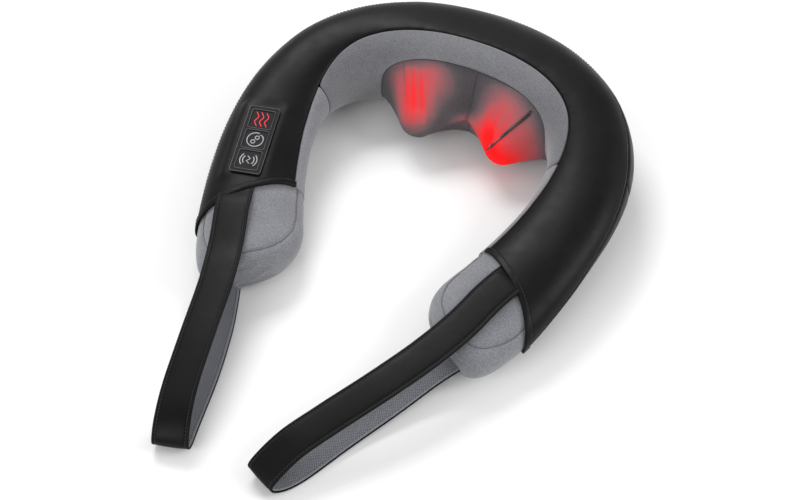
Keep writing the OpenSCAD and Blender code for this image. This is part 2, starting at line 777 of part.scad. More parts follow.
// Space that the pad's frame takes out of the leather and the foam
module pad_cutout(gap, below)
    on_pad() translate([0, 0, -below]) linear_extrude(height = below + 14)
        round_rect(pad_w + 2 * gap, pad_l + 2 * gap, pad_corner);
module round_rect(w, l, r) {
    for (x = [-1, 1], y = [-1, 1])
        translate([x * (w / 2 - r), y * (l / 2 - r)]) circle(r = r);
    square([w - 2 * r, l], center = true);
    square([w, l - 2 * r], center = true);
}
module control_frame() {
    color([0.08, 0.08, 0.09])
    on_pad() difference() {
        union() {
            linear_extrude(height = pad_t / 2) round_rect(pad_w, pad_l, pad_corner);
            translate([0, 0, pad_t / 2])
                linear_extrude(height = pad_t / 2) round_rect(pad_w - 2, pad_l - 2, pad_corner - 1);
            translate([0, 0, -5])
                linear_extrude(height = 5) round_rect(pad_w - 4, pad_l - 4, pad_corner - 2);
        }
        for (i = [-1:1])
            translate([0, i * button_pitch, -1])
                linear_extrude(height = 9) round_rect(button_w + 0.6, button_l + 0.6, 2.5);
        translate([0, 0, -6])
            linear_extrude(height = 5.6) round_rect(pad_w - 8, pad_l - 8, 2);
    }
}
module control_board() {
    color([0.1, 0.4, 0.2])
    on_pad() translate([0, 0, -4.6]) linear_extrude(height = 1.2)
        round_rect(pad_w - 8.4, pad_l - 8.4, 2);
}
module tact_switches() {
    color([0.15, 0.15, 0.15])
    on_pad() for (i = [-1:1])
        translate([0, i * button_pitch, -3.38]) {
            translate([-2.25, -2.25, 0]) cube([4.5, 4.5, 0.9]);
            cylinder(r = 1, h = 1.1);
        }
}
// Cap with a flange under the frame that keeps it in
module button_cap(i)
    on_pad() translate([0, i * button_pitch, flange_z]) {
        linear_extrude(height = pad_t - flange_z - 0.5) round_rect(button_w, button_l, 2.2);
        linear_extrude(height = flange_t) round_rect(button_w + 2.4, button_l + 2.4, 3);
    }
module heat_button()
    color([0.09, 0.09, 0.1]) button_cap(1);
module shiatsu_button()
    color([0.09, 0.09, 0.1]) button_cap(0);
module vibration_button()
    color([0.09, 0.09, 0.1]) button_cap(-1);

// ---- Wires and power socket -------------------------------------------------------------------------
wire_r = 1.7;
wire_start = 0.215;
function wire_point(t, t_up, rise) = let (
    c = centre(t),
    n = inward(t),
    o = 15 * ease((t - 0.3) / 0.2))
    [c.x + n.x * o, c.y + n.y * o, mid_h + smooth(drop, t) + rise * ease((t - t_up) / 0.05)];
module wire(t_end, t_up, rise) {
    steps = 22;
    sides = 8;
    loft([for (i = [0:steps]) let (
        t = mix(wire_start, t_end, i / steps),
        p = wire_point(t, t_up, rise),
        way = unit(wire_point(t + 0.002, t_up, rise) - wire_point(t - 0.002, t_up, rise)),
        right = unit(cross(way, [0, 0, 1])),
        up = cross(right, way))
        [for (j = [0:sides - 1])
            p + wire_r * (cos(360 * j / sides) * right + sin(360 * j / sides) * up)]]);
}
module wiring_harness() {
    color([0.7, 0.15, 0.12]) {
        mirror([1, 0, 0]) wire(0.72, 0.9, 0);
        wire(0.60, 0.9, 0);
    }
}

// Round power socket in the underside of the left arm's outer edge
socket_at = [-187.4, -130.7, 33.3];
socket_r = 5.5;
socket_l = 13;
socket_bore_r = 2.75;
contact_r = 1.05;
module socket_axis()
    translate(socket_at) rotate([0, -120, 0]) children();
module dc_socket()
    color([0.07, 0.07, 0.08])
    socket_axis() {
        difference() {
            union() {
                translate([0, 0, -socket_l]) cylinder(r = socket_r, h = socket_l);
                cylinder(r = socket_r + 1.6, h = 1.4);
            }
            translate([0, 0, -9.5]) cylinder(r = socket_bore_r, h = 20);
        }
        translate([0, 0, -10]) cylinder(r = contact_r, h = 8.5);
    }

leather_cover();
hem_binding_left();
hem_binding_right();
neck_panel();
arm_lining_left();
arm_lining_right();
base_panel_back();
base_panel_left();
base_panel_right();
window_fabric_left();
window_fabric_right();
end_pad_left();
end_pad_right();
foam_back();
foam_neck();
foam_arm_left();
foam_arm_right();
strap_left();
strap_right();
strap_lining_left();
strap_lining_right();
rear_housing();
front_housing();
housing_screws();
drive_motor();
driver_board();
worm_shaft();
worm_left();
worm_right();
worm_shaft_bushes();
worm_wheel_left();
worm_wheel_right();
output_shaft_left();
output_shaft_right();
output_bushes();
node_carrier_left();
node_carrier_right();
kneading_head_left();
kneading_head_right();
carrier_screws_left();
carrier_screws_right();
heat_led_boards();
heat_leds();
vibration_motor_left();
vibration_motor_right();
vibration_weight_left();
vibration_weight_right();
wiring_harness();
control_frame();
control_board();
tact_switches();
heat_button();
shiatsu_button();
vibration_button();
dc_socket();
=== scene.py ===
"""Looks of the shiatsu neck massager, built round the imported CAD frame.

Lengths are millimetres until a mesh is made, which is in metres. A place on the collar is
t along it (0 at the back, -1 and 1 at the arms' ends) and v round its section in degrees
(0 inner side, 90 top, 180 outer side, 270 underside), as in the CAD model.
"""

import bpy
import bmesh
import json
import math
import numpy as np
from mathutils import Matrix, Vector
from mathutils.bvhtree import BVHTree


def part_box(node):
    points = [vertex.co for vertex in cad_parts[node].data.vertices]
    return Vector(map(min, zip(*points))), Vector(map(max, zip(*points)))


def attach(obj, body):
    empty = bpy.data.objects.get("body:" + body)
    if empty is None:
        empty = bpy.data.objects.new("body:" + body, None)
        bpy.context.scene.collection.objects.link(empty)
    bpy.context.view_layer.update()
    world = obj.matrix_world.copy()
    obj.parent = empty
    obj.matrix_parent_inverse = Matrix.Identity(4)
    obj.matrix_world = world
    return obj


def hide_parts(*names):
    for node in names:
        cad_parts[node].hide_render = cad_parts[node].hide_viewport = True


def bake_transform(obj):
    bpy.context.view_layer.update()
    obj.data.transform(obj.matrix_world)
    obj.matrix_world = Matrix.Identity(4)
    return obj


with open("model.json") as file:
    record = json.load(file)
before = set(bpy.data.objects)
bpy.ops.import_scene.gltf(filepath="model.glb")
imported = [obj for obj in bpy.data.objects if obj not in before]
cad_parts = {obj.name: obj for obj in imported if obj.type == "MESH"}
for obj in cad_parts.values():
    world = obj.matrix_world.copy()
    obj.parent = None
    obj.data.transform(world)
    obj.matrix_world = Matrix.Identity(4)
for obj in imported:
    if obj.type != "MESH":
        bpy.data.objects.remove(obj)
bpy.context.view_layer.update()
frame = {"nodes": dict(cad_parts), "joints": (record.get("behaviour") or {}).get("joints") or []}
MM = 0.001
SIDES = (("left", -1), ("right", 1))


def box_mm(node):
    """Lowest and highest corner of a CAD node, in millimetres."""
    low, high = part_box(node)
    return np.array(low) / MM, np.array(high) / MM


def middle(node):
    low, high = box_mm(node)
    return (low + high) / 2


# ---- Collar surface ------------------------------------------------------------------------
MID_H = middle("vibration_motor_left")[2]
CURVE = np.array([[0, 0], [113, 0], [202, -55], [115, -264]], float)
HALF_DEPTH = [52, 40.5, 41, 50]
HALF_HEIGHT = [45, 42.5, 25, 28]
DROP = [0, 0, -1, -18.5]
BANK = [12, 2, -3, 0]
SEAM_V = [72, 66, 38, 34]
SECTION_POWER = [2.7, 2.3, 2.1]
CLOSE_FROM, CLOSE_TO, CLOSE_POWER = 0.95, 1.13, 3.4
PAD_LEAD = 0.25
BASE_SEAM, INNER_BASE_SEAM = 298, 298 - 360
NECK_LIP = 14
PANEL_T = 0.54
HEM_W = 0.018
HEM_LAP = HEM_W * 0.9
PAD_DEPTH = 2.0
WINDOW_T, WINDOW_HALF_T, WINDOW_V, WINDOW_HALF_V, WINDOW_POWER = 0.045, 0.325, -14, 46, 3


def bezier(u):
    u = u[..., None]
    w = 1 - u
    return (w ** 3 * CURVE[0] + 3 * w * w * u * CURVE[1] + 3 * w * u * u * CURVE[2]
            + u ** 3 * CURVE[3])


def bezier_slope(u):
    u = u[..., None]
    w = 1 - u
    first, second, third = np.diff(CURVE, axis=0)
    return w * w * first + 2 * w * u * second + u * u * third


CURVE_U = np.linspace(0, 1, 401)
CURVE_S = np.concatenate(
    [[0], np.cumsum(np.linalg.norm(np.diff(bezier(CURVE_U), axis=0), axis=1))])
HALF_LEN = CURVE_S[-1]


def unit(p):
    return p / np.maximum(np.linalg.norm(p, axis=-1, keepdims=True), 1e-12)


def catmull_rom(p0, p1, p2, p3, f):
    """Smooth curve from p1 to p2, at fraction f."""
    return p1 + f * ((p2 - p0) / 2
                     + f * ((p0 - 2.5 * p1 + 2 * p2 - 0.5 * p3)
                            + f * (1.5 * (p1 - p2) + 0.5 * (p3 - p0))))


def knots(values, t):
    """Smooth curve through values at |t| = 0, 1/3, 2/3 and 1, level at 0."""
    k = np.array([values[1], *values, 2 * values[3] - values[2]], float)
    x = np.minimum(np.abs(t), 1) * 3
    i = np.minimum(x.astype(int), 2)
    return catmull_rom(k[i], k[i + 1], k[i + 2], k[i + 3], x - i)


def ease(x):
    x = np.clip(x, 0, 1)
    return x * x * (3 - 2 * x)


def distances(line):
    """Distance of each point of a line from its start."""
    return np.concatenate([[0], np.cumsum(np.linalg.norm(np.diff(line, axis=0), axis=1))])


def mix(a, b, f):
    return a + (b - a) * f


def seam(t):
    return knots(SEAM_V, t)


def hem(v):
    v = np.asarray(v, float)
    a = np.where(v > 190, mix(190, 30, (v - 190) / 108), v)
    return 0.88 + 0.107 * ease((a - 30) / 160)


def closing(t):
    x = np.clip((np.abs(t) - CLOSE_FROM) / (CLOSE_TO - CLOSE_FROM), 0, 1)
    return np.maximum(1 - x ** CLOSE_POWER, 0) ** (1 / CLOSE_POWER)


def skin(t, v, depth=0.0, lowest=None):
    """Point of the collar's surface, depth millimetres below the skin."""
    t, v, depth = np.broadcast_arrays(np.asarray(t, float), np.asarray(v, float), depth)
    u = np.interp(np.minimum(np.abs(t), 1) * HALF_LEN, CURVE_S, CURVE_U)
    ahead = unit(bezier_slope(u))
    flip = np.where(t < 0, -1.0, 1.0)
    p = bezier(u) + ahead * (np.maximum(np.abs(t) - 1, 0) * HALF_LEN)[..., None]
    k = closing(t)
    e = 2 / np.interp(np.abs(t), [0, 0.5, 1], SECTION_POWER)
    r = np.radians(v)
    c, s = np.cos(r), np.sin(r)
    across = (knots(HALF_DEPTH, t) * k - depth) * np.sign(c) * np.abs(c) ** e
    up = (knots(HALF_HEIGHT, t) * k - depth) * np.sign(s) * np.abs(s) ** e
    b = np.radians(knots(BANK, t))
    level = across * np.cos(b) - up * np.sin(b)
    height = MID_H + knots(DROP, t) + across * np.sin(b) + up * np.cos(b)
    lead = -PAD_LEAD * level * np.clip((np.abs(t) - CLOSE_FROM) / 0.15, 0, 1)
    return np.stack([flip * (p[..., 0] + ahead[..., 1] * level + ahead[..., 0] * lead),
                     p[..., 1] - ahead[..., 0] * level + ahead[..., 1] * lead,
                     np.maximum(height, depth if lowest is None else lowest)], axis=-1)


def on_skin(places, depth=0.0, lowest=None):
    """The same for an array of [t, v] places."""
    return skin(places[..., 0], places[..., 1], depth, lowest)


# ---- Meshes --------------------------------------------------------------------------------
def add_object(name, data):
    obj = bpy.data.objects.new(name, data)
    bpy.context.scene.collection.objects.link(obj)
    return obj


def to_object(name, points, faces, uv=None):
    """A mesh object from points in millimetres and faces, with uv in metres for each point."""
    mesh = bpy.data.meshes.new(name)
    points = np.asarray(points, float).reshape(-1, 3)
    mesh.from_pydata((points * MM).tolist(), [], [list(map(int, f)) for f in faces])
    if uv is not None:
        layer = mesh.uv_layers.new(name="UVMap")
        index = np.zeros(len(mesh.loops), int)
        mesh.loops.foreach_get("vertex_index", index)
        layer.data.foreach_set("uv", np.asarray(uv, float).reshape(-1, 2)[index].ravel())
    mesh.polygons.foreach_set("use_smooth", [True] * len(mesh.polygons))
    mesh.update()
    return add_object(name, mesh)


def grid_faces(rows, cols, wrap_cols=False, wrap_rows=False, flip=False):
    i, j = np.meshgrid(np.arange(rows if wrap_rows else rows - 1),
                       np.arange(cols if wrap_cols else cols - 1), indexing="ij")
    i, j = i.ravel(), j.ravel()
    i2, j2 = (i + 1) % rows, (j + 1) % cols
    quads = np.stack([i * cols + j, i2 * cols + j, i2 * cols + j2, i * cols + j2], axis=1)
    return quads[:, ::-1] if flip else quads


def grid_uv(points):
    """Distances along a grid's columns and rows, in metres."""
    down = np.linalg.norm(np.diff(points, axis=0), axis=2).mean(axis=1)
    along = np.linalg.norm(np.diff(points, axis=1), axis=2)
    u = np.concatenate([np.zeros((points.shape[0], 1)), np.cumsum(along, axis=1)], axis=1)
    u = u - u[:, -1:] / 2
    v = np.concatenate([[0], np.cumsum(down)])
    return np.stack([u, np.broadcast_to(v[:, None], u.shape)], axis=-1) * MM


def closed_faces(rows, cols):
    """Faces of a tube of rows rings, closed at both ends."""
    faces = [tuple(f) for f in grid_faces(rows, cols, wrap_cols=True)]
    return faces + [tuple(range(cols)), tuple(range((rows - 1) * cols, rows * cols))[::-1]]


def add_attribute(obj, name, values):
    layer = obj.data.attributes.new(name, "FLOAT", "POINT")
    layer.data.foreach_set("value", np.asarray(values, np.float32).ravel())


def face_out(obj, deeper):
    """Turns a grid's faces so that they look away from the same grid taken deeper."""
    points = np.zeros(len(obj.data.vertices) * 3)
    obj.data.vertices.foreach_get("co", points)
    away = points.reshape(-1, 3) - deeper.reshape(-1, 3) * MM
    if sum(face.normal.dot(Vector(away[face.vertices[0]])) for face in obj.data.polygons) < 0:
        obj.data.flip_normals()


def close_out(obj):
    """Turns a closed mesh's faces outwards."""
    data = bmesh.new()
    data.from_mesh(obj.data)
    bmesh.ops.recalc_face_normals(data, faces=data.faces)
    data.to_mesh(obj.data)
    data.free()
    return obj


def thicken(obj, t):
    """Gives a sheet its thickness, inwards from its outer face."""
    m = obj.modifiers.new("thickness", "SOLIDIFY")
    m.thickness = t * MM
    m.offset = -1
    m.use_even_offset = False


def apply_modifiers(obj):
    dg = bpy.context.evaluated_depsgraph_get()
    mesh = bpy.data.meshes.new_from_object(obj.evaluated_get(dg))
    obj.modifiers.clear()
    obj.data = mesh


def subdivide(obj):
    m = obj.modifiers.new("smooth", "SUBSURF")
    m.levels = m.render_levels = 1


def finish_piece(obj, material, slot, body="root", replaces=()):
    """Material, slot (not used), body and the CAD nodes that the piece stands for."""
    obj.data.materials.clear()
    obj.data.materials.append(material)
    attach(obj, body)
    if replaces:
        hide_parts(*replaces)
    return obj


def sewn_panel(name, points, deeper, material, slot, node, thick=1.1, flip=False,
               wrap_rows=False, cut=None, glow=None):
    """A sewn cover panel over a grid of points, with its thickness inwards, towards the
    deeper grid. cut says which faces are left out."""
    panel = to_object(name, points, grid_faces(*points.shape[:2], wrap_rows=wrap_rows, flip=flip),
                      grid_uv(points))
    if glow is not None:
        add_attribute(panel, "glow", glow)
    face_out(panel, deeper)
    if cut:
        drop_faces(panel, cut)
    thicken(panel, thick)
    subdivide(panel)
    return finish_piece(panel, material, slot, replaces=[node])


EDGE_STEPS = np.array([0, 0.35, 0.8, 1.4, 2.2, 3.2, 4.6])


def spaced(places, inner):
    """Re-spaces rows of [t, v] places: close together near both ends of each row, where a
    seam rolls over, and even between. Returns the places and each one's distance, in
    millimetres, from the row's start and from its end."""
    points = on_skin(places)
    out = np.zeros((len(places), 2 * len(EDGE_STEPS) + inner, 2))
    near = np.zeros(out.shape[:2])
    far = np.zeros(out.shape[:2])
    for i, (row, line) in enumerate(zip(places, points)):
        s = distances(line)
        total = s[-1]
        steps = EDGE_STEPS * min(1, total / 14)
        body = np.linspace(steps[-1], total - steps[-1], inner + 2)[1:-1]
        d = np.concatenate([steps, body, total - steps[::-1]])
        out[i, :, 0] = np.interp(d, s, row[:, 0])
        out[i, :, 1] = np.interp(d, s, row[:, 1])
        near[i], far[i] = d, total - d
    return out, near, far


def roll(d, width=3.2, deep=1.5):
    """How far a stuffed panel's skin dips at distance d from its seam."""
    x = 1 - np.clip(d / width, 0, 1)
    return deep * (1 - np.sqrt(np.maximum(1 - x * x, 0)))


def waves(p, size, seed):
    """A smooth uneven field of about -1 to 1 with bumps of the given size."""
    total = 0
    for k in range(5):
        a = seed * 1.7 + k * 2.399
        d = np.array([math.cos(a), math.sin(a) * math.cos(k * 1.3),
                      math.sin(a) * math.sin(k * 1.3)])
        total = total + np.sin(p @ d * (2 * math.pi / (size * (0.75 + 0.17 * k))) + seed * 3.1 + k)
    return total / 3


STITCH_SINK = 0.05


def rings_round(side, up, sides):
    """Unit circles of points in the planes of side and up."""
    a = 2 * math.pi * np.arange(sides) / sides
    return np.cos(a)[None, :, None] * side[:, None] + np.sin(a)[None, :, None] * up[:, None]


def stitches(name, line, normal, pitch, length, radius=0.3):
    """A row of short threads along a line of points, each lying on the surface."""
    s = distances(line)
    count = int((s[-1] - pitch * 0.5) // pitch)
    mids = pitch * (np.arange(count) + 0.75)

    def at(values, x):
        return np.stack([np.interp(x, s, values[:, i]) for i in range(3)], axis=-1)

    rings, sides = 5, 6
    lobe = np.sin(np.linspace(0.12, 0.88, rings) * math.pi) ** 0.5
    arch = np.sin(np.linspace(0, 1, rings) * math.pi)
    points = []
    for m in mids:
        x = m + np.linspace(-length / 2, length / 2, rings)
        core = at(line, x)
        up = unit(at(normal, x))
        way = unit(np.gradient(core, axis=0))
        side = unit(np.cross(way, up))
        core = core + up * (radius * 0.7 * arch - STITCH_SINK)[:, None]
        points.append(core[:, None] + radius * lobe[:, None, None] * rings_round(side, up, sides))
    faces = closed_faces(rings, sides)
    return to_object(name, points, [tuple(i * rings * sides + k for k in f)
                                    for i in range(count) for f in faces])


def join(name, objects):
    """Joins meshes into one object."""
    data = bmesh.new()
    for o in objects:
        data.from_mesh(o.data)
        mesh = o.data
        bpy.data.objects.remove(o)
        bpy.data.meshes.remove(mesh)
    mesh = bpy.data.meshes.new(name)
    data.to_mesh(mesh)
    data.free()
    return add_object(name, mesh)


def tube(name, line, radius, sides=8):
    """A round cord of thread or wire along a line, closed at both ends."""
    way = unit(np.gradient(line, axis=0))
    helper = np.array([0.13, 0.21, 0.97])
    side = unit(np.cross(way, helper))
    ring = rings_round(side, np.cross(side, way), sides)
    return to_object(name, line[:, None] + radius * ring, closed_faces(len(line), sides))


def lay_on(obj, line, above=0.1):
    """A line of points moved onto an object's surface, or just above it, and smoothed."""
    surface = BVHTree.FromObject(obj, bpy.context.evaluated_depsgraph_get())
    hits = [surface.find_nearest(Vector(p * MM)) for p in line]
    line = np.array([hit[0] + hit[1] * above * MM for hit in hits]) / MM
    for _ in range(3):
        line[1:-1] = 0.25 * line[:-2] + 0.5 * line[1:-1] + 0.25 * line[2:]
    return line


# ---- Materials -----------------------------------------------------------------------------
class Nodes:
    """Short names for building one Principled material."""

    def __init__(self, name, rough=0.5, **fixed):
        self.material = bpy.data.materials.new(name)
        self.material.use_nodes = True
        self.tree = self.material.node_tree
        self.shader = self.tree.nodes["Principled BSDF"]
        self.shader.inputs["Roughness"].default_value = rough
        for key, value in fixed.items():
            self.shader.inputs[key.replace("_", " ")].default_value = value
        self.coordinates = self.tree.nodes.new("ShaderNodeTexCoord")

    def node(self, kind, inputs=(), vector=None, **settings):
        """A node with settings and values for its inputs, and with its vector linked."""
        n = self.tree.nodes.new("ShaderNode" + kind)
        for key, value in settings.items():
            setattr(n, key, value)
        for key, value in dict(inputs).items():
            n.inputs[key].default_value = value
        if isinstance(vector, str):
            vector = self.coordinates.outputs[vector]
        if vector:
            self.link(vector, n.inputs["Vector"])
        return n

    def link(self, a, b):
        self.tree.links.new(a, b)

    def noise(self, scale, detail=3.0, rough=0.55):
        sizes = {"Scale": scale, "Detail": detail, "Roughness": rough}
        return self.node("TexNoise", sizes, "Object").outputs["Fac"]

    def cells(self, scale, feature="F1", vector="Object", random=1.0):
        sizes = {"Scale": scale, "Randomness": random}
        return self.node("TexVoronoi", sizes, vector, feature=feature).outputs["Distance"]

    def wave(self, scale, direction, vector="UV", distortion=0.0):
        sizes = {"Scale": scale, "Distortion": distortion}
        return self.node("TexWave", sizes, vector, bands_direction=direction).outputs["Fac"]

    def math(self, operation, a, b):
        n = self.node("Math", operation=operation)
        for socket, value in zip(n.inputs, (a, b)):
            if isinstance(value, (int, float)):
                socket.default_value = value
            else:
                self.link(value, socket)
        return n.outputs[0]

    def weigh(self, *parts):
        """Sum of values, each with its weight."""
        scaled = [self.math("MULTIPLY", value, weight) for value, weight in parts]
        for other in scaled[1:]:
            scaled[0] = self.math("ADD", scaled[0], other)
        return scaled[0]

    def range(self, value, low, high, to_low, to_high):
        n = self.node("MapRange", {"From Min": low, "From Max": high,
                                   "To Min": to_low, "To Max": to_high})
        self.link(value, n.inputs["Value"])
        return n.outputs["Result"]

    def colours(self, value, stops):
        n = self.node("ValToRGB")
        ramp = n.color_ramp
        while len(ramp.elements) < len(stops):
            ramp.elements.new(0.5)
        for e, (place, colour) in zip(ramp.elements, stops):
            e.position = place
            e.color = (*colour, 1)
        self.link(value, n.inputs["Fac"])
        return n.outputs["Color"]

    def blend_colours(self, fac, a, b):
        n = self.node("Mix", data_type="RGBA")
        self.link(fac, n.inputs["Factor"])
        for socket, value in ((n.inputs[6], a), (n.inputs[7], b)):
            if isinstance(value, tuple):
                socket.default_value = (*value, 1)
            else:
                self.link(value, socket)
        return n.outputs[2]

    def attribute(self, name):
        return self.node("Attribute", attribute_name=name).outputs["Fac"]

    def colour(self, socket):
        self.link(socket, self.shader.inputs["Base Color"])

    def shade(self, value, *stops):
        """Base colour by a ramp over a value."""
        self.colour(self.colours(value, stops))

    def roughness(self, value, low, high):
        self.link(self.range(value, 0.2, 0.8, low, high), self.shader.inputs["Roughness"])

    def bump(self, height, strength=0.5, distance=0.0002, after=None):
        n = self.node("Bump", {"Strength": strength, "Distance": distance})
        self.link(height, n.inputs["Height"])
        if after is not None:
            self.link(after, n.inputs["Normal"])
        self.link(n.outputs["Normal"], self.shader.inputs["Normal"])
        return n.outputs["Normal"]


def grain_leather(name, dark, light, low, high, grain=750):
    """Smooth coated leather: fine pebbled grain, soft uneven sheen."""
    m = Nodes(name, Specular_IOR_Level=0.13)
    broad, fine = m.noise(22, 4), m.noise(grain * 2.2, 3)
    m.shade(m.weigh((broad, 0.75), (fine, 0.25)),
            (0.3, dark), (0.7, light))
    m.roughness(m.noise(60, 4), low, high)
    pebble = m.cells(grain, "SMOOTH_F1")
    first = m.bump(pebble, 0.35, 0.00016)
    m.bump(m.noise(160, 4), 0.25, 0.0004, first)
    return m.material


def knit(name, dark, light, glow=None, scale=1.0, sheen=0.35):
    """Brushed knitted fabric: mottled yarn colour, fine ribs and fuzz. glow is a colour that
    a lamp under the cloth gives it, by the mesh's glow attribute: painted lamp light and red
    emission where that attribute is high, and painted shade, towards black, where it is low."""
    m = Nodes(name, rough=0.92, Sheen_Weight=sheen, Sheen_Roughness=0.55, Specular_IOR_Level=0.15)
    mottle = m.noise(1000 * scale, 2, 0.75)
    patch = m.noise(45, 5, 0.6)
    rib = m.wave(310 * scale, "X", distortion=0.6)
    course = m.wave(260 * scale, "Y", distortion=0.6)
    weave = m.math("MULTIPLY", rib, course)
    cloth = m.colours(m.weigh((mottle, 0.75), (patch, 0.13), (weave, 0.12)),
                      [(0.36, dark), (0.62, light)])
    if glow:
        lit = m.attribute("glow")
        # painted shade: the cloth darkens towards black where the glow attribute is low or below
        # zero
        painted_shade = m.blend_colours(m.range(lit, -0.25, 0.14, 1, 0), cloth, (0.004, 0.003, 0.003))
        # painted lamp light: the cloth turns to the glow colour, then deep red, where the glow
        # attribute is high
        painted_lamp_glow = m.blend_colours(m.range(lit, 0.08, 0.4, 0, 0.95), painted_shade, glow)
        m.colour(m.blend_colours(m.range(lit, 0.3, 0.9, 0, 1), painted_lamp_glow, (0.62, 0.005, 0.006)))
        # painted glow: the cloth's red emission grows with the glow attribute
        m.shader.inputs["Emission Color"].default_value = (1.0, 0.008, 0.01, 1)
        m.link(m.math("MULTIPLY", m.math("POWER", lit, 1.8), 0.6),
               m.shader.inputs["Emission Strength"])
        m.link(m.range(lit, 0.25, 0.8, sheen, 0.02), m.shader.inputs["Sheen Weight"])
    else:
        m.colour(cloth)
    first = m.bump(weave, 0.3, 0.00022)
    m.bump(m.noise(2600 * scale, 2, 0.8), 0.45, 0.00018, first)
    return m.material


def spacer_mesh(name):
    """Open honeycomb mesh fabric: dark holes in rows in light yarn."""
    m = Nodes(name, rough=0.9, Sheen_Weight=0.25, Specular_IOR_Level=0.2)
    turned = m.node("Mapping", {"Rotation": (0, 0, math.radians(45))}, "UV")
    holes = m.cells(640, vector=turned.outputs["Vector"], random=0.12)
    open_part = m.range(holes, 0.2, 0.36, 0, 1)
    fuzz = m.noise(1500, 2, 0.7)
    yarn = m.colours(fuzz, [(0.35, (0.12, 0.125, 0.14)), (0.65, (0.26, 0.27, 0.3))])
    m.colour(m.blend_colours(open_part, (0.03, 0.032, 0.038), yarn))
    first = m.bump(open_part, 0.7, 0.0006)
    m.bump(fuzz, 0.3, 0.0002, first)
    return m.material


def thread(name, dark, light):
    m = Nodes(name, rough=0.6, Sheen_Weight=0.2)
    twist = m.wave(900, "DIAGONAL", "Object")
    m.shade(twist, (0.2, dark), (0.8, light))
    m.bump(twist, 0.5, 0.0001)
    return m.material


def moulded(name, dark, light, low, high, grain=1800, depth=0.00008, **fixed):
    """Moulded rubber or plastic: spark-eroded texture, slight flow marks."""
    m = Nodes(name, **fixed)
    flow = m.noise(35, 4)
    fine = m.noise(grain, 3, 0.7)
    m.shade(m.weigh((flow, 0.6), (fine, 0.4)),
            (0.32, dark), (0.68, light))
    m.roughness(fine, low, high)
    m.bump(fine, 0.4, depth)
    return m.material


def turned_metal(name, dark, light, low=0.22, high=0.42):
    """Machined metal: fine tool marks and faint stains."""
    m = Nodes(name, Metallic=1.0)
    marks = m.noise(900, 2, 0.8)
    stain = m.noise(70, 5)
    m.shade(m.weigh((marks, 0.45), (stain, 0.55)),
            (0.3, dark), (0.7, light))
    m.roughness(marks, low, high)
    m.bump(marks, 0.25, 0.00004)
    return m.material


def circuit_board(name):
    """Green solder mask with copper tracks showing as a raised grid."""
    m = Nodes(name, rough=0.35)
    tracks = m.cells(420, "DISTANCE_TO_EDGE")
    line = m.range(tracks, 0.02, 0.06, 1, 0)
    m.colour(m.blend_colours(line, (0.012, 0.09, 0.035), (0.05, 0.2, 0.08)))
    m.bump(line, 0.3, 0.00006)
    return m.material


def foam(name):
    """Open-cell foam: pores of several sizes."""
    m = Nodes(name, rough=0.95, Specular_IOR_Level=0.1)
    pores = m.cells(700)
    m.shade(m.weigh((pores, 0.8), (m.noise(60, 4), 0.3)),
            (0.2, (0.008, 0.008, 0.0085)), (0.6, (0.03, 0.03, 0.032)))
    m.bump(pores, 0.8, 0.0006)
    return m.material


LEATHER = grain_leather("cover_leather", (0.0025, 0.0025, 0.0026), (0.006, 0.006, 0.0063),
                        0.36, 0.5)
STRAP_LEATHER = grain_leather("strap_leather", (0.0012, 0.0012, 0.0013),
                              (0.0032, 0.0032, 0.0034), 0.38, 0.5, 900)
EDGE_LEATHER = grain_leather("edge_leather", (0.0015, 0.0015, 0.0016), (0.004, 0.004, 0.0043),
                             0.45, 0.6, 1100)
GREY = knit("grey_knit", (0.135, 0.138, 0.152), (0.27, 0.275, 0.298))
# The glow colours are the painted light of the red lamps under the window.
PANEL_GREY = knit("panel_knit", (0.15, 0.153, 0.167), (0.29, 0.293, 0.315), glow=(0.42, 0.22, 0.24))
WINDOW_KNIT = knit("window_knit", (0.075, 0.068, 0.075), (0.14, 0.128, 0.138),
                   glow=(0.3, 0.11, 0.12), scale=1.4, sheen=0.1)
MESH = spacer_mesh("spacer_mesh")
MESH_EDGE = knit("mesh_edge_tape", (0.13, 0.135, 0.15), (0.26, 0.27, 0.3))
BLACK_THREAD = thread("black_thread", (0.002, 0.002, 0.002), (0.012, 0.012, 0.013))
GREY_THREAD = thread("grey_thread", (0.05, 0.052, 0.06), (0.12, 0.125, 0.14))
PAD_RUBBER = moulded("pad_rubber", (0.005, 0.005, 0.0053), (0.011, 0.011, 0.0116), 0.45, 0.62,
                    Specular_IOR_Level=0.14)
PAD_EDGE = moulded("pad_edge", (0.035, 0.035, 0.037), (0.075, 0.075, 0.08), 0.35, 0.5)
BUTTON_RUBBER = moulded("button_rubber", (0.006, 0.006, 0.0063), (0.014, 0.014, 0.0148), 0.5, 0.75,
                        grain=2400, depth=0.00014, Specular_IOR_Level=0.2)
# The red print's emission is a faint painted glow.
RED_PRINT = moulded("red_print", (0.55, 0.012, 0.03), (0.85, 0.03, 0.055), 0.4, 0.55,
                    Emission_Color=(0.9, 0.03, 0.05, 1), Emission_Strength=0.25)
SILVER_PRINT = moulded("silver_print", (0.26, 0.27, 0.3), (0.5, 0.51, 0.54), 0.3, 0.45)
STEEL = turned_metal("steel", (0.42, 0.42, 0.44), (0.68, 0.68, 0.7))
MOTOR_STEEL = turned_metal("motor_steel", (0.34, 0.35, 0.37), (0.6, 0.61, 0.63), 0.28, 0.5)
WORM_STEEL = turned_metal("worm_steel", (0.3, 0.3, 0.31), (0.55, 0.55, 0.56), 0.18, 0.34)
BRONZE = turned_metal("bronze", (0.3, 0.16, 0.05), (0.58, 0.36, 0.14), 0.35, 0.55)
HOUSING = moulded("housing_plastic", (0.012, 0.012, 0.013), (0.03, 0.03, 0.032), 0.5, 0.68)
GEAR = moulded("gear_acetal", (0.6, 0.57, 0.47), (0.78, 0.76, 0.68), 0.3, 0.42, grain=1200)
CARRIER = moulded("carrier_plastic", (0.5, 0.5, 0.52), (0.68, 0.68, 0.7), 0.35, 0.5)
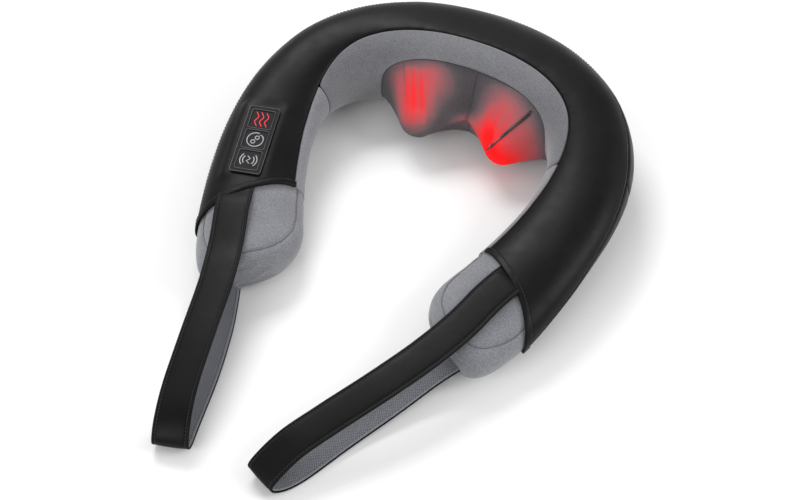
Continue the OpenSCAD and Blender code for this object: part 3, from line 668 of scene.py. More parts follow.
# The heads' red emission is painted glow, standing in for the heat lamps' light through the
# silicone.
HEAD = moulded("head_silicone", (0.42, 0.03, 0.025), (0.66, 0.08, 0.06), 0.4, 0.55,
               Subsurface_Weight=0.3, Subsurface_Scale=0.004,
               Emission_Color=(1.0, 0.05, 0.03, 1), Emission_Strength=0.35)
LENS = moulded("led_lens", (0.5, 0.01, 0.01), (0.8, 0.03, 0.02), 0.12, 0.2, depth=0.00002,
               Emission_Color=(1.0, 0.03, 0.02, 1), Emission_Strength=4.0)
WIRE = moulded("wire_insulation", (0.012, 0.012, 0.013), (0.03, 0.03, 0.032), 0.4, 0.55)
SWITCH = moulded("switch_plastic", (0.02, 0.02, 0.02), (0.045, 0.045, 0.045), 0.4, 0.6)
SOCKET = moulded("socket_plastic", (0.006, 0.006, 0.006), (0.016, 0.016, 0.017), 0.2, 0.35)
BOARD = circuit_board("solder_mask")
FOAM = foam("open_cell_foam")

# Materials of the CAD pieces that show as they are; a star stands for left and right
for material, pieces in (
        (HOUSING, "rear_housing front_housing"),
        (STEEL, "housing_screws worm_shaft output_shaft_* carrier_screws_*"),
        (MOTOR_STEEL, "drive_motor vibration_motor_*"), (BRONZE, "worm_shaft_bushes output_bushes"),
        (WORM_STEEL, "worm_* vibration_weight_*"), (GEAR, "worm_wheel_*"),
        (CARRIER, "node_carrier_*"), (HEAD, "kneading_head_*"), (LENS, "heat_leds"),
        (BOARD, "driver_board heat_led_boards control_board"), (WIRE, "wiring_harness"),
        (PAD_RUBBER, "control_frame"), (SWITCH, "tact_switches"), (SOCKET, "dc_socket"),
        (BUTTON_RUBBER, "heat_button shiatsu_button vibration_button")):
    for piece in pieces.split():
        for node in sorted({piece.replace("*", name) for name, _ in SIDES}):
            mesh = frame["nodes"][node].data
            mesh.materials.clear()
            mesh.materials.append(material)

# ---- Leather cover, side panel and hems ----------------------------------------------------
OUTER_T = [0, 0.35, 0.47, 0.6, 0.79, 0.97, 1.2]
OUTER_V = [140, 142, 147, 163, 178, 188, 192]


def side_seam(t):
    """Section angle of the stitched seam between the top cover and the side panel."""
    return np.interp(np.abs(t), OUTER_T, OUTER_V)


def leather_field(points, near, far):
    """Slight unevenness of stuffed leather, and the pucker of its seams."""
    edge = np.minimum(near, far)
    return (0.28 * waves(points, 95, 1) + 0.12 * waves(points, 38, 2)
            + 0.16 * np.exp(-edge / 5) * waves(points, 9, 3))


PAD_AT = np.array([-146.1, -185.9, MID_H + 16.4])
PAD_TURN, PAD_TILT, PAD_PITCH = math.radians(11), math.radians(1.4), math.radians(7)
PAD_W, PAD_L, PAD_TOP, BUTTON_PITCH = 31, 76, 4, 23
PAD_AXES = np.array(Matrix.Rotation(PAD_TURN, 3, "Z") @ Matrix.Rotation(-PAD_TILT, 3, "Y")
                    @ Matrix.Rotation(PAD_PITCH, 3, "X"))


def on_pad(points):
    """Points of the control pad's own frame, put in place."""
    return np.asarray(points, float) @ PAD_AXES.T + PAD_AT


def in_pad(points):
    return (points - PAD_AT) @ PAD_AXES


def bed_pad(points):
    """Shapes the leather round the control pad, which it meets just below the pad's rim."""
    q = in_pad(points)
    off = np.hypot(np.maximum(np.abs(q[..., 0]) - PAD_W / 2, 0),
                   np.maximum(np.abs(q[..., 1]) - PAD_L / 2, 0))
    off = np.where(q[..., 2] > -25, off, 99)
    q[..., 2] = mix(q[..., 2], PAD_TOP - 1.9, 1 - ease((off - 0.5) / 11))
    return on_pad(q)


def cover_points(rows=301, inner=34):
    f = np.linspace(-1, 1, rows)
    fine = np.linspace(0, 1, 160)
    inner_v, outer_v = seam(f * 0.87), side_seam(f * 0.93)
    for _ in range(4):
        inner_v = seam(f * (hem(inner_v) - HEM_LAP))
        outer_v = side_seam(f * (hem(outer_v) - HEM_LAP))
    v = mix(inner_v[:, None], outer_v[:, None], fine[None])
    t = f[:, None] * (hem(v) - HEM_LAP)
    places, near, far = spaced(np.stack([t, v], axis=-1), inner)
    points = on_skin(places)
    depth = roll(near) + roll(far) - leather_field(points, near, far)
    return places, near, far, bed_pad(on_skin(places, depth))


def drop_faces(obj, inside):
    """Removes the faces whose middle is inside."""
    data = bmesh.new()
    data.from_mesh(obj.data)
    data.faces.ensure_lookup_table()
    gone = [f for f in data.faces if inside(np.array(f.calc_center_median()) / MM)]
    bmesh.ops.delete(data, geom=gone, context="FACES")
    data.to_mesh(obj.data)
    data.free()


def under_pad(p):
    x, y = in_pad(p)[:2]
    return abs(x) < PAD_W / 2 - 3 and abs(y) < PAD_L / 2 - 3


places, near, far, points = cover_points()
sewn_panel("leather_cover_sewn", points, on_skin(places, 6), LEATHER,
           "black_leather", "leather_cover", thick=1.2, cut=under_pad)


def surface_line(t, v, depth):
    """Line on the skin and its outward direction."""
    line = skin(t, v, depth)
    return line, unit(line - skin(t, v, depth + 1.0))


def side_points(t_from, t_to, rows, with_hem=0):
    """Side and underside panel, from the stitched seam to the seam under the inner side."""
    f = np.linspace(0, 1, rows)[:, None]
    fine = np.linspace(0, 1, 160)
    start = PANEL_T * with_hem
    t = mix(t_from, t_to, f)
    if with_hem:
        t = mix(start, with_hem * hem(mix(side_seam(t), BASE_SEAM, fine)), f)
        v = mix(side_seam(t[:, :1]), BASE_SEAM, fine)
    else:
        v = mix(side_seam(t), BASE_SEAM - NECK_LIP, fine)
        t = np.broadcast_to(t, v.shape)
    places, near, far = spaced(np.stack([t, v], axis=-1), 12)
    points = on_skin(places)
    along = np.abs(places[..., 0] - start)
    if with_hem:
        ends = np.minimum(along, hem(places[..., 1]) - np.abs(places[..., 0])) * HALF_LEN
    else:
        ends = (PANEL_T - along) * HALF_LEN
    rolled = roll(near) + roll(far) + roll(ends)
    low = np.clip((points[..., 2] - 2) / 6, 0, 1)
    depth = rolled - leather_field(points, near, far) * low
    return places, on_skin(places, depth, np.maximum(0.05, rolled))


places, points = side_points(-PANEL_T, PANEL_T, 161)
sewn_panel("side_panel_back", points, on_skin(places, 6), LEATHER,
           "black_leather", "base_panel_back", thick=1.2)
SOCKET_HOLE, SOCKET_HOLE_R = middle("dc_socket") + [-4, 0, -2], 6.4


def round_socket(p):
    return np.linalg.norm(p - SOCKET_HOLE) < SOCKET_HOLE_R


for name, s in SIDES:
    places, points = side_points(s * PANEL_T, s * 0.95, 81, with_hem=s)
    sewn_panel(f"side_panel_{name}", points, on_skin(places, 6), LEATHER,
               "black_leather", f"base_panel_{name}", thick=1.2, flip=s < 0,
               cut=round_socket if s < 0 else None)

# Stitches beside the side seam
t_line = np.linspace(-0.925, 0.925, 900)
line, out = surface_line(t_line, side_seam(t_line) - 5.2, 0.05)
row = stitches("side_seam_stitches", line, out, pitch=3.6, length=2.5, radius=0.32)
finish_piece(row, BLACK_THREAD, "black_leather")

# Folded hems: a raised band with a rolled edge, and a row of stitches
HEM_PROFILE = [(0, 1.3), (0.0, 0.2), (0.25, -0.35), (0.8, -0.62), (2.2, -0.72), (4.4, -0.72),
               (5.6, -0.62), (6.3, -0.3), (6.62, 0.3), (6.5, 1.1), (6.0, 1.8), (3.0, 1.9)]
for name, s in SIDES:
    v = np.linspace(34.5, 262, 150)
    profile = np.array(HEM_PROFILE)
    t = s * (hem(v)[:, None] - HEM_W + profile[None, :, 0] / HALF_LEN)
    wobble = 0.1 * waves(skin(t[:, 0], v), 14, 5)[:, None]
    pts = skin(t, v[:, None] + 0 * t, profile[None, :, 1] + wobble, 0.1)
    faces = grid_faces(*pts.shape[:2], wrap_cols=True, flip=s > 0)
    band = to_object(f"hem_band_{name}", pts, faces, grid_uv(pts))
    close_out(band)
    subdivide(band)
    line, out = surface_line(s * (hem(v) - HEM_W * 0.87), v, -0.62)
    low = line[:, 2] > 1.5
    row = stitches(f"hem_stitches_{name}", line[low], out[low], pitch=3.2, length=2.2)
    finish_piece(row, BLACK_THREAD, "black_leather")
    finish_piece(band, LEATHER, "black_leather", replaces=[f"hem_binding_{name}"])

# ---- Grey inner panels ---------------------------------------------------------------------
WINDOW_MIDDLE = np.array([WINDOW_T, WINDOW_V])


def outline_k(a, power):
    return (np.abs(np.cos(a)) ** power + np.abs(np.sin(a)) ** power) ** (-1 / power)


def window_edge(a):
    k = outline_k(a, WINDOW_POWER)
    return np.stack([WINDOW_T + WINDOW_HALF_T * np.cos(a) * k,
                     WINDOW_V + WINDOW_HALF_V * np.sin(a) * k], axis=-1)


def panel_edge(a):
    k = outline_k(a, 60)
    x, y = np.cos(a) * k, np.sin(a) * k
    t = x * PANEL_T
    v = np.where(y > 0, mix(WINDOW_V, seam(t), y), mix(WINDOW_V, INNER_BASE_SEAM - NECK_LIP, -y))
    return np.stack([t, v], axis=-1)


HEADS = {s: middle(f"kneading_head_{name}") for name, s in SIDES}
HEAD_R = 17
HEAD_Y = box_mm("kneading_head_left")[0][1] + HEAD_R


def ring_angles():
    """Directions from the window's middle, even along the panel's long and short sides."""
    long_side = np.linspace(1, -1, 110, endpoint=False)
    short_side = np.linspace(1, -1, 34, endpoint=False)
    return np.concatenate([np.arctan2(1, long_side), np.arctan2(short_side, -1),
                           np.arctan2(-1, -long_side), np.arctan2(-short_side, 1)])


a = ring_angles()
fine = np.linspace(0, 1, 90)[None, :, None]
places, near, far = spaced(mix(window_edge(a)[:, None], panel_edge(a)[:, None], fine), 10)
points = on_skin(places)
depth = (roll(near, 2.6, 1.2) + roll(far) - 0.22 * waves(points, 60, 4)
         - 0.5 * ease(near / 20) * ease(far / 20))
low = np.clip((points[..., 2] - 3) / 8, 0, 1)
points = on_skin(places, mix(np.maximum(depth, 0), depth, low), 1.2)
# painted lamp glow: the neck panel's glow, strongest at the window's edge beside the heads, paints
# in the pink light of the red lamps under the window
painted_lamp_glow = 0
for head in HEADS.values():
    away = np.linalg.norm((points - (head + [0, 30, 4])) * [1, 0.6, 1], axis=-1)
    painted_lamp_glow = painted_lamp_glow + np.exp(-(away / 44) ** 2)
sewn_panel("neck_panel_knit", points, on_skin(places, 7), PANEL_GREY,
           "grey_fabric", "neck_panel", flip=True, wrap_rows=True,
           glow=0.2 * np.clip(painted_lamp_glow, 0, 1) * np.exp(-near / 26))

for name, s in SIDES:
    f = np.linspace(0, 1, 66)[:, None]
    fine = np.linspace(0, 1, 120)[None]
    t_end = hem(np.maximum(30, seam(np.array(0.9)) * fine))
    t = mix(PANEL_T, t_end, f)
    v = mix(INNER_BASE_SEAM, seam(t), fine)
    places, near, far = spaced(np.stack([t, v], axis=-1), 14)
    points = on_skin(places)
    ends = (places[..., 0] - PANEL_T) * HALF_LEN
    depth = roll(near) + roll(far) + roll(ends) - 0.2 * waves(points, 50, 6)
    low = np.clip((points[..., 2] - 2) / 6, 0, 1)
    points = on_skin(places, mix(np.maximum(depth, 0), depth, low), 0.1)
    sewn_panel(f"arm_lining_knit_{name}", points * [s, 1, 1],
               on_skin(places, 6) * [s, 1, 1], GREY,
               "grey_fabric", f"arm_lining_{name}", flip=s > 0)

# ---- Stretch fabric over the kneading heads ------------------------------------------------
SPLIT_ROWS = 150
RADIAL = 84
NECK_LEN = 16
CLOTH_REACH = HEAD_R + 1.3


def stretched_window():
    """The window's cloth as a membrane, pulled over the two heads and their necks. It is a
    polar grid whose columns at 90 and 270 degrees lie on the seam between the halves."""
    a = np.radians(90) + np.linspace(0, 2 * math.pi, 2 * SPLIT_ROWS, endpoint=False)
    r = np.concatenate([np.linspace(0, 1, RADIAL - 3) ** 0.9, [1.015, 1.035, 1.055]])
    places = mix(WINDOW_MIDDLE, window_edge(a)[:, None], r[None, :, None])
    rest = on_skin(places, 0.9 + 36 * np.maximum(r - 1, 0))
    p = rest.copy()
    for s, head in HEADS.items():
        d = np.hypot(p[..., 0] - head[0], p[..., 2] - head[2])
        lift = np.clip(np.cos(np.minimum(d / 46, 1) * math.pi / 2), 0, 1) ** 1.25
        p[..., 1] = mix(p[..., 1], HEAD_Y - CLOTH_REACH, lift)
    floor_y = mix(rest[..., 1], p[..., 1], 0.62)
    fixed = np.zeros(p.shape[:2], bool)
    fixed[:, -4:] = True
    for _ in range(300):
        q = p.copy()
        q[:, 1:-1] = (0.5 * (p[:, 2:] + p[:, :-2]) * 0.55
                      + 0.225 * (np.roll(p, 1, 0)[:, 1:-1] + np.roll(p, -1, 0)[:, 1:-1]))
        q[:, 0] = q[:, 1].mean(axis=0)
        q[fixed] = rest[fixed]
        q[..., 1] = np.minimum(q[..., 1], floor_y)
        for head in HEADS.values():
            core = q * 0 + head
            core[..., 1] = np.clip(q[..., 1], HEAD_Y, HEAD_Y + NECK_LEN)
            off = q - core
            d = np.linalg.norm(off, axis=-1, keepdims=True)
            q = np.where(d < CLOTH_REACH, core + off / np.maximum(d, 1e-6) * CLOTH_REACH, q)
        p = q
    return r, p


def surface_normals(p):
    along = np.roll(p, -1, 0) - np.roll(p, 1, 0)
    out = np.gradient(p, axis=1)
    n = unit(np.cross(out, along))
    return np.where(n[..., 1:2] > 0, -n, n)


radius, cloth = stretched_window()
normal = surface_normals(cloth)


def from_line(p, line):
    """Distance from each point to a line of points."""
    best = np.full(p.shape[:-1], 1e9)
    for start, end in zip(line[:-1], line[1:]):
        start, end = np.array(start, float), np.array(end, float)
        way = end - start
        f = np.clip(((p - start) @ way) / (way @ way), 0, 1)
        best = np.minimum(best, np.linalg.norm(p - start - f[..., None] * way, axis=-1))
    return best


# Gathers from the window's edge to the tops of the heads: line, width and height of fold,
# and how brightly the lamps show there
GATHERS = [
    ([(-63, -55, 60), (-45, -86, 35)], 4.0, 0.4, 0.1),
    ([(-54, -50, 68), (-37, -90, 40)], 3.0, 0.5, 0.35),
    ([(-47, -50, 69), (-30, -88, 42)], 2.4, 0.6, 0.5),
    ([(-38, -52, 69), (-22, -86, 42)], 2.0, 0.8, 0.6),
    ([(-29, -51, 68), (-15, -78, 44)], 2.5, 0.5, 0.1),
    ([(37, -58, 60), (36, -68, 52), (46, -90, 36)], 4.0, 0.4, 0.3),
    ([(47, -56, 65), (44, -74, 51), (50, -91, 38)], 2.6, 0.7, 0.4),
    ([(57, -60, 63), (53, -78, 50), (55, -91, 38)], 2.3, 0.7, 0.3),
    ([(78, -66, 54), (66, -88, 28)], 5, 0.3, 0.1),
    ([(86, -70, 38), (68, -88, 20)], 5, 0.5, 0.1),
]
# Broader lit areas: middle, radius and brightness
LAMPS = [
    ((-38, -70, 56), 19, 0.7), ((-33, -84, 44), 14, 0.45), ((-56, -52, 62), 18, 0.28),
    ((-30, -48, 70), 15, 0.3), ((-14, -52, 62), 14, 0.14), ((14, -72, 34), 11, 0.5),
    ((38, -78, 42), 16, 1.0), ((50, -92, 34), 18, 1.1), ((57, -90, 20), 16, 1.2),
    ((66, -84, 30), 14, 0.5),
    ((72, -70, 50), 18, 0.3), ((48, -58, 64), 22, 0.42), ((84, -70, 30), 18, 0.3),
]
# Darts sewn into the cloth: line, width and depth
SEWN_LINES = [
    ([(74.3, -55, 66.8), (69.4, -62, 61.7), (59, -75, 52.6), (49.1, -88, 42.8),
      (44.4, -87, 34)], 1.05, 1.9),
    ([(-59, -48, 69), (-50, -66, 54), (-39, -87, 43.7), (-37.2, -92, 32.7)], 0.5, 0.8),
]

edge_fade = ease((1 - radius) * 9)[None]
rise = 0
for line, width, height, _ in GATHERS:
    rise = rise + height * np.exp(-(from_line(cloth, line) / (0.55 * width)) ** 2)
cut = 0
for line, width, deep in SEWN_LINES:
    cut = np.maximum(cut, deep * np.exp(-(from_line(cloth, line) / width) ** 2))
seam_dip = 0.9 * np.exp(-(np.abs(cloth[..., 0] - cloth[0, :, 0][None]) / 1.3) ** 2)
cloth = cloth + normal * ((rise - cut - seam_dip) * edge_fade)[..., None]


def half_window(s):
    """One half's rows of the polar grid, with its middle column first and last."""
    index = np.arange(SPLIT_ROWS + 1) if s < 0 else np.arange(SPLIT_ROWS, 2 * SPLIT_ROWS + 1)
    return index % (2 * SPLIT_ROWS)


# painted lamp light on the window's cloth: bright along the gathers and round the lamp spots,
# fainter towards the window's edge and in the darts, and below zero in the deeper dart, which
# paints shade into its groove
lit = 0
for line, width, _, power in GATHERS:
    middle, length = np.mean(line, axis=0), np.linalg.norm(np.subtract(line[0], line[-1]))
    along = np.linalg.norm(cloth - middle, axis=-1) / (0.55 * length)
    lit = lit + power * np.exp(-(from_line(cloth, line) / width) ** 2 - along ** 2)
for spot, size, power in LAMPS:
    lit = lit + power * np.exp(-(np.linalg.norm(cloth - np.array(spot), axis=-1) / size) ** 2)
lit = 1.15 * (1 - np.exp(-0.95 * lit)) * (1 - np.clip(cut, 0, 1))
lit = lit * (0.6 + 0.4 * ease((1 - radius) * 7)[None]) - 0.25 * ease((cut - 0.7) / 0.6)

# How far back, in metres, the cloth would stay still and would turn wholly with a node;
# the points made from them at each node's pivot are not used.
STILL_Y, TURNS_Y = -0.056, -0.078

for name, s in SIDES:
    rows_used = half_window(s)
    pts = cloth[rows_used]
    window = to_object(f"window_knit_{name}", pts, grid_faces(*pts.shape[:2], flip=True),
                       grid_uv(pts))
    add_attribute(window, "glow", lit[rows_used])
    thicken(window, 0.8)
    apply_modifiers(window)
    window.data.materials.clear()
    window.data.materials.append(WINDOW_KNIT)
    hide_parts(f"window_fabric_{name}")
    pivot = [j for j in frame["joints"] if j["name"] == f"node_spin_{name}"][0]["pos_m"]
    start, end = ((pivot[0], y, pivot[2]) for y in (STILL_Y, TURNS_Y))
    if s > 0:
        sewn = np.array(SEWN_LINES[0][0], float)
        k = np.linspace(0, len(sewn) - 1, 70)
        sewn = np.stack([np.interp(k, np.arange(len(sewn)), row) for row in sewn.T], axis=-1)
        dart = tube("window_dart", lay_on(window, sewn + [0, -3, 2], above=0.45), 0.6, 6)
        dart.data.materials.append(BLACK_THREAD)
        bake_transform(dart)
        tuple(start)
        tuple(end)
    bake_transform(window)
    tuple(start)
    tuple(end)

outline = skin(*window_edge(np.linspace(0, 2 * math.pi, 361)).T, 0.75)
finish_piece(tube("window_edge_seam", outline, 0.42, 6), BLACK_THREAD, "window_fabric")


# ---- Padded arm ends -----------------------------------------------------------------------
PAD_ROWS, PAD_SPOKES = 84, 128
PAD_START = 0.84


def pad_places():
    f = np.linspace(0, 1, PAD_ROWS)
    t = mix(PAD_START, CLOSE_TO - 0.0012, 1 - (1 - f) ** 1.7)
    fine = np.linspace(0, 360, 3601)
    crowd = 1 + sum(3.5 * np.exp(-((fine - at) / 7) ** 2) for at in (28, 152, 208, 332))
    share = np.concatenate([[0], np.cumsum(crowd[:-1])]) / crowd[:-1].sum()
    v = np.interp(np.linspace(0, 1, PAD_SPOKES, endpoint=False), share, fine)
    return np.broadcast_arrays(t[:, None], v[None])


def pad_skin(t, v, extra=0.0):
    """Skin of an end pad: set back under the hem, flush with the lining on its inner side."""
    turned = np.abs((np.asarray(v, float) + 180) % 360 - 180)
    back = mix(0.2, PAD_DEPTH, ease((turned - 28) / 16) * (1 - ease((np.abs(t) - 1) / 0.1)))
    return skin(t, v, (back + extra) * closing(t), 0.15)


def panel_seam(up):
    """Seam round the top panel of a pad, or the bottom one, as places on the collar."""
    a = np.linspace(-90, 90, 181)
    c, s = np.cos(np.radians(a)), np.sin(np.radians(a))
    k = (np.abs(c) ** 3 + np.abs(s) ** 3) ** (-1 / 3)
    t = 0.885 + 0.213 * c * k
    v = 90 + 62 * s * k
    return t, (v if up else 360 - v)


def distance_to(points, line):
    flat_points = points.reshape(-1, 3)
    d = np.full(len(flat_points), 1e9)
    for i in range(0, len(line), 30):
        part = line[i:i + 31]
        d = np.minimum(d, np.linalg.norm(flat_points[:, None] - part[None], axis=-1).min(axis=1))
    return d.reshape(points.shape[:-1])


SWELL_FRAMES = 20


def move_points(obj, points):
    obj.data.vertices.foreach_set("co", (points * MM).astype(np.float32).ravel())
    obj.data.update()


def swell(obj, pinned, cap, pressure=4.0):
    """Inflates a closed cloth for a moment, moves no point further than cap millimetres,
    and leaves the result as plain mesh."""
    group = obj.vertex_groups.new(name="sewn")
    for i, w in enumerate(pinned):
        if w > 0:
            group.add([i], float(w), "REPLACE")
    rest = np.array([v.co for v in obj.data.vertices])
    cloth_modifier = obj.modifiers.new("cloth", "CLOTH")
    settings = cloth_modifier.settings
    for key, value in {"quality": 5, "mass": 0.25, "tension_stiffness": 12,
                       "compression_stiffness": 12, "shear_stiffness": 6,
                       "bending_stiffness": 0.6, "use_pressure": True,
                       "uniform_pressure_force": pressure, "vertex_group_mass": "sewn"}.items():
        setattr(settings, key, value)
    settings.effector_weights.gravity = 0
    cloth_modifier.collision_settings.use_collision = False
    scene = bpy.context.scene
    cloth_modifier.point_cache.frame_start = 1
    cloth_modifier.point_cache.frame_end = SWELL_FRAMES
    for frame_number in range(1, SWELL_FRAMES + 1):
        scene.frame_set(frame_number)
    dg = bpy.context.evaluated_depsgraph_get()
    moved = np.array([v.co for v in obj.evaluated_get(dg).data.vertices])
    obj.modifiers.clear()
    obj.vertex_groups.clear()
    scene.frame_set(1)
    step = moved - rest
    size = np.linalg.norm(step, axis=1, keepdims=True)
    move_points(obj, rest / MM + step / MM * np.minimum(1, cap * MM / np.maximum(size, 1e-9)))


PAD_T, PAD_V = pad_places()
for name, s in SIDES:
    seams = [pad_skin(*panel_seam(up)) for up in (True, False)]
    start = pad_skin(PAD_T, PAD_V, 0.7)
    d = np.minimum(*[distance_to(start, line) for line in seams])
    held = np.clip(1.6 - d / 2.2, 0, 1) * (PAD_T > 0.87)
    low = np.clip(1 - (start[..., 2] - 0.4) / 1.5, 0, 1)
    held = np.maximum(np.maximum(held, low), PAD_T < 0.9)
    start[..., 0] *= s
    pad = close_out(to_object(f"end_pad_sewn_{name}", start, closed_faces(PAD_ROWS, PAD_SPOKES)))
    swell(pad, held.ravel(), cap=2.2)
    co = np.array([v.co for v in pad.data.vertices]) / MM
    out = np.array([n.vector for n in pad.data.vertex_normals])
    d = d.ravel()
    above = np.clip((co[:, 2] - 0.6) / 2, 0, 1)
    sink = 1.1 * np.exp(-(d / 1.5) ** 2) + 0.45 * np.exp(-(d / 5) ** 2)
    crease = 0.3 * np.exp(-d / 7) * waves(co, 12, 7 + s) + 0.35 * waves(co, 48, 8 + s)
    co = co + out * ((crease - sink) * above * (PAD_T.ravel() > 0.88))[:, None]
    co[:, 2] = np.maximum(co[:, 2], 0.1)
    move_points(pad, co)
    subdivide(pad)
    finish_piece(pad, GREY, "grey_fabric", replaces=[f"end_pad_{name}"])
    lines = [tube(f"pad_seam_{name}_{k}", lay_on(pad, line[line[:, 2] > 1.2] * [s, 1, 1]), 0.45, 6)
             for k, line in enumerate(seams)]
    finish_piece(join(f"pad_seam_{name}", lines), GREY_THREAD, "grey_fabric")

# ---- Hand loops ----------------------------------------------------------------------------
STRAP_W = 33
STRAP_LINES = {
    "left": [(-134.9, -251, 56.3), (-131.4, -263, 55), (-120, -296, 51.6), (-109.4, -334, 48.8),
             (-100, -385, 43), (-91, -435, 35.5), (-83, -466, 28), (-78, -483, 15.5),
             (-79, -479, 4), (-84, -455, 0.4), (-92, -405, 2), (-101.5, -360, 6.5),
             (-109.5, -332, 13), (-114.3, -318, 16.5)],
    "right": [(126.3, -242.5, 57.6), (118.4, -263, 55.3), (108, -296, 52.1), (91.6, -334, 48.8),
              (69, -375, 44), (40, -420, 35.5), (20, -452, 28), (7, -481, 15.5),
              (11, -477, 4), (24, -457, 0.4), (45, -413.5, 2), (70, -368, 7),
              (91, -330, 14), (105, -310.5, 19.5)],
}
STRAP_ACROSS = {"left": (0.955, 0.24, 0.17), "right": (0.9, -0.44, 0)}
# Where each loop is sewn in under the hem, before its visible start
STRAP_TUCK = {"left": [(-142.5, -228, 53), (-138.8, -239.5, 54.4)],
              "right": [(134, -220, 54), (130.3, -231, 55.5)]}


def through(points, x):
    """Smooth curve through points, at place x counted in points."""
    p = np.asarray(points, float)
    n = len(p) - 1
    i = np.minimum(x.astype(int), n - 1)
    return catmull_rom(p[np.maximum(i - 1, 0)], p[i], p[i + 1], p[np.minimum(i + 2, n)],
                       (x - i)[:, None])


def strap_frame(side, count=420):
    """Evenly spaced middle line of a loop's outer face, and its directions across and in."""
    held = STRAP_TUCK[side] + STRAP_LINES[side]
    x = np.linspace(0, len(held) - 1, 1600)
    line = through(held, x)
    s = distances(line)
    x = np.interp(np.linspace(0, s[-1], count), s, x)
    line = through(held, x)
    x = x - len(STRAP_TUCK[side])
    line[:, 2] -= 0.9 * (1 - ease((x + 0.1) / 1.2)) * ease((x + 1.6) / 1.2)
    kernel = np.array([0.25, 0.5, 0.25])
    way = unit(np.gradient(line, axis=0))
    for _ in range(12):
        way[1:-1] = sum(k * way[i:len(way) - 2 + i] for i, k in enumerate(kernel))
    way = unit(way)
    level = 1 - ease((x - 5) / 3)
    ax, ay, az = STRAP_ACROSS[side]
    half = unit(np.stack([np.full_like(level, ax), np.full_like(level, ay), az * level], axis=-1))
    return line, half, unit(np.cross(half, way))


def strap_points(line, half, inner, profile):
    a, b = np.array(profile).T
    return line[:, None] + half[:, None] * a[None, :, None] + inner[:, None] * b[None, :, None]


def mirrored(profile):
    return profile + [(-a, b) for a, b in profile[::-1]]


H = STRAP_W / 2
EDGE_BAND = 3.1
LEATHER_PROFILE = mirrored([
    (-H + 0.5, 1.7), (-H + 0.05, 1.5), (-H, 0.9), (-H + 0.05, 0.35), (-H + 0.4, 0.04),
    (-H + 1.0, -0.06), (-H + 2.0, -0.06), (-H + 2.7, 0.06), (-H + EDGE_BAND, 0.42),
    (-H + EDGE_BAND + 0.45, 0.12), (-H + EDGE_BAND + 1.3, -0.12), (-H + 6.5, -0.32),
    (-H + 11, -0.46), (-2.2, -0.5)])
LINING_PROFILE = mirrored([
    (-H + 0.9, 1.74), (-H + 0.75, 2.3), (-H + 1.1, 2.72), (-H + 1.9, 2.86), (-H + 2.7, 2.8),
    (-H + 3.2, 2.5), (-H + 3.8, 2.72), (-H + 6, 2.84), (-H + 11, 2.9), (-2.2, 2.92)])


def band(name, points, main, trim, trim_columns):
    """A loop's band, with its outermost columns in the trim material."""
    rows, cols = points.shape[:2]
    obj = to_object(name, points, closed_faces(rows, cols), grid_uv(points))
    obj.data.materials.append(main)
    obj.data.materials.append(trim)
    column = np.tile(np.arange(cols), rows - 1)
    near = (column < trim_columns) | (column >= cols - 1 - trim_columns)
    obj.data.polygons.foreach_set("material_index", list(near.astype(int)) + [1, 1])
    return close_out(obj)


# The loops' bands: piece, slot, CAD piece, profile, materials and columns of trim
STRAP_BANDS = [
    ("strap_leather", "strap_leather", "strap", LEATHER_PROFILE, STRAP_LEATHER, EDGE_LEATHER, 8),
    ("strap_lining_mesh", "mesh_lining", "strap_lining", LINING_PROFILE, MESH, MESH_EDGE, 5)]
# and their stitches: piece, slot, distance from the edge, depth, side, length and radius
STRAP_ROWS = [("strap_stitches", "strap_leather", EDGE_BAND, 0.3, -1, 2.1, 0.34),
              ("lining_stitches", "mesh_lining", 3.2, 2.56, 1, 1.7, 0.3)]

for side, _ in SIDES:
    line, half, inner = strap_frame(side)
    line = line + inner * 0.22 * waves(line, 55, 9)[:, None]
    for name, slot, node, profile, main, trim, columns in STRAP_BANDS:
        piece = band(f"{name}_{side}", strap_points(line, half, inner, profile), main, trim,
                     columns)
        subdivide(piece)
        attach(piece, "root")
        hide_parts(f"{node}_{side}")
    for name, slot, inset, deep, way, length, radius in STRAP_ROWS:
        rows = [stitches(name, line + half * at + inner * deep, inner * way, 3.0, length, radius)
                for at in (inset - H, H - inset)]
        finish_piece(join(f"{name}_{side}", rows), BLACK_THREAD, slot)

# ---- Button symbols ------------------------------------------------------------------------
BUTTON_TOP = PAD_TOP - 0.5
MARK_R = 0.5


def mark(name, line_xy, button):
    """A raised printed line on a button, in the pad's own frame."""
    xy = np.asarray(line_xy, float)
    at = np.stack([xy[:, 0], xy[:, 1] + button * BUTTON_PITCH,
                   np.full(len(xy), BUTTON_TOP + 0.02)], axis=-1)
    return tube(name, on_pad(at), MARK_R, 8)


def arc(radius, start, end, count=28):
    a = np.radians(np.linspace(start, end, count))
    return np.stack([radius * np.cos(a), radius * np.sin(a)], axis=-1)


wave_y = np.linspace(-8, 8, 34)
wave_x = 1.3 * np.sin(wave_y * 0.56) - wave_y * 0.04
heat = [mark("wave", np.stack([x + wave_x, wave_y], -1), 1) for x in (-4.8, 0, 4.8)]
finish_piece(join("heat_symbol", heat), RED_PRINT, "button_rubber", body="heat_key")

turning = [mark("ring", arc(7.6, 70, 400, 60), 0)]
tip = arc(7.6, 400, 401)[-1]
for barb in (([-2.6, 0.5], [-1.2, 0.4], [0, 0]), ([0.9, -2.5], [0.6, -1.2], [0, 0])):
    turning.append(mark("barb", [tip + d for d in barb], 0))
for s in (-1, 1):
    turning.append(mark("lobe", arc(1.9, 0, 360, 20) + [s * 1.5, s * 2.4], 0))
finish_piece(join("shiatsu_symbol", turning), SILVER_PRINT, "button_rubber", body="shiatsu_key")

shaking = [mark("arc", arc(r, facing - 46, facing + 46), -1)
           for r in (5.3, 8.0) for facing in (180, 0)]
shaking.append(mark("core", [(-1.6, 4.2), (1.6, 1.5), (-1.6, -1.2), (1.6, -4.0)], -1))
finish_piece(join("vibration_symbol", shaking), SILVER_PRINT, "button_rubber", body="vibration_key")


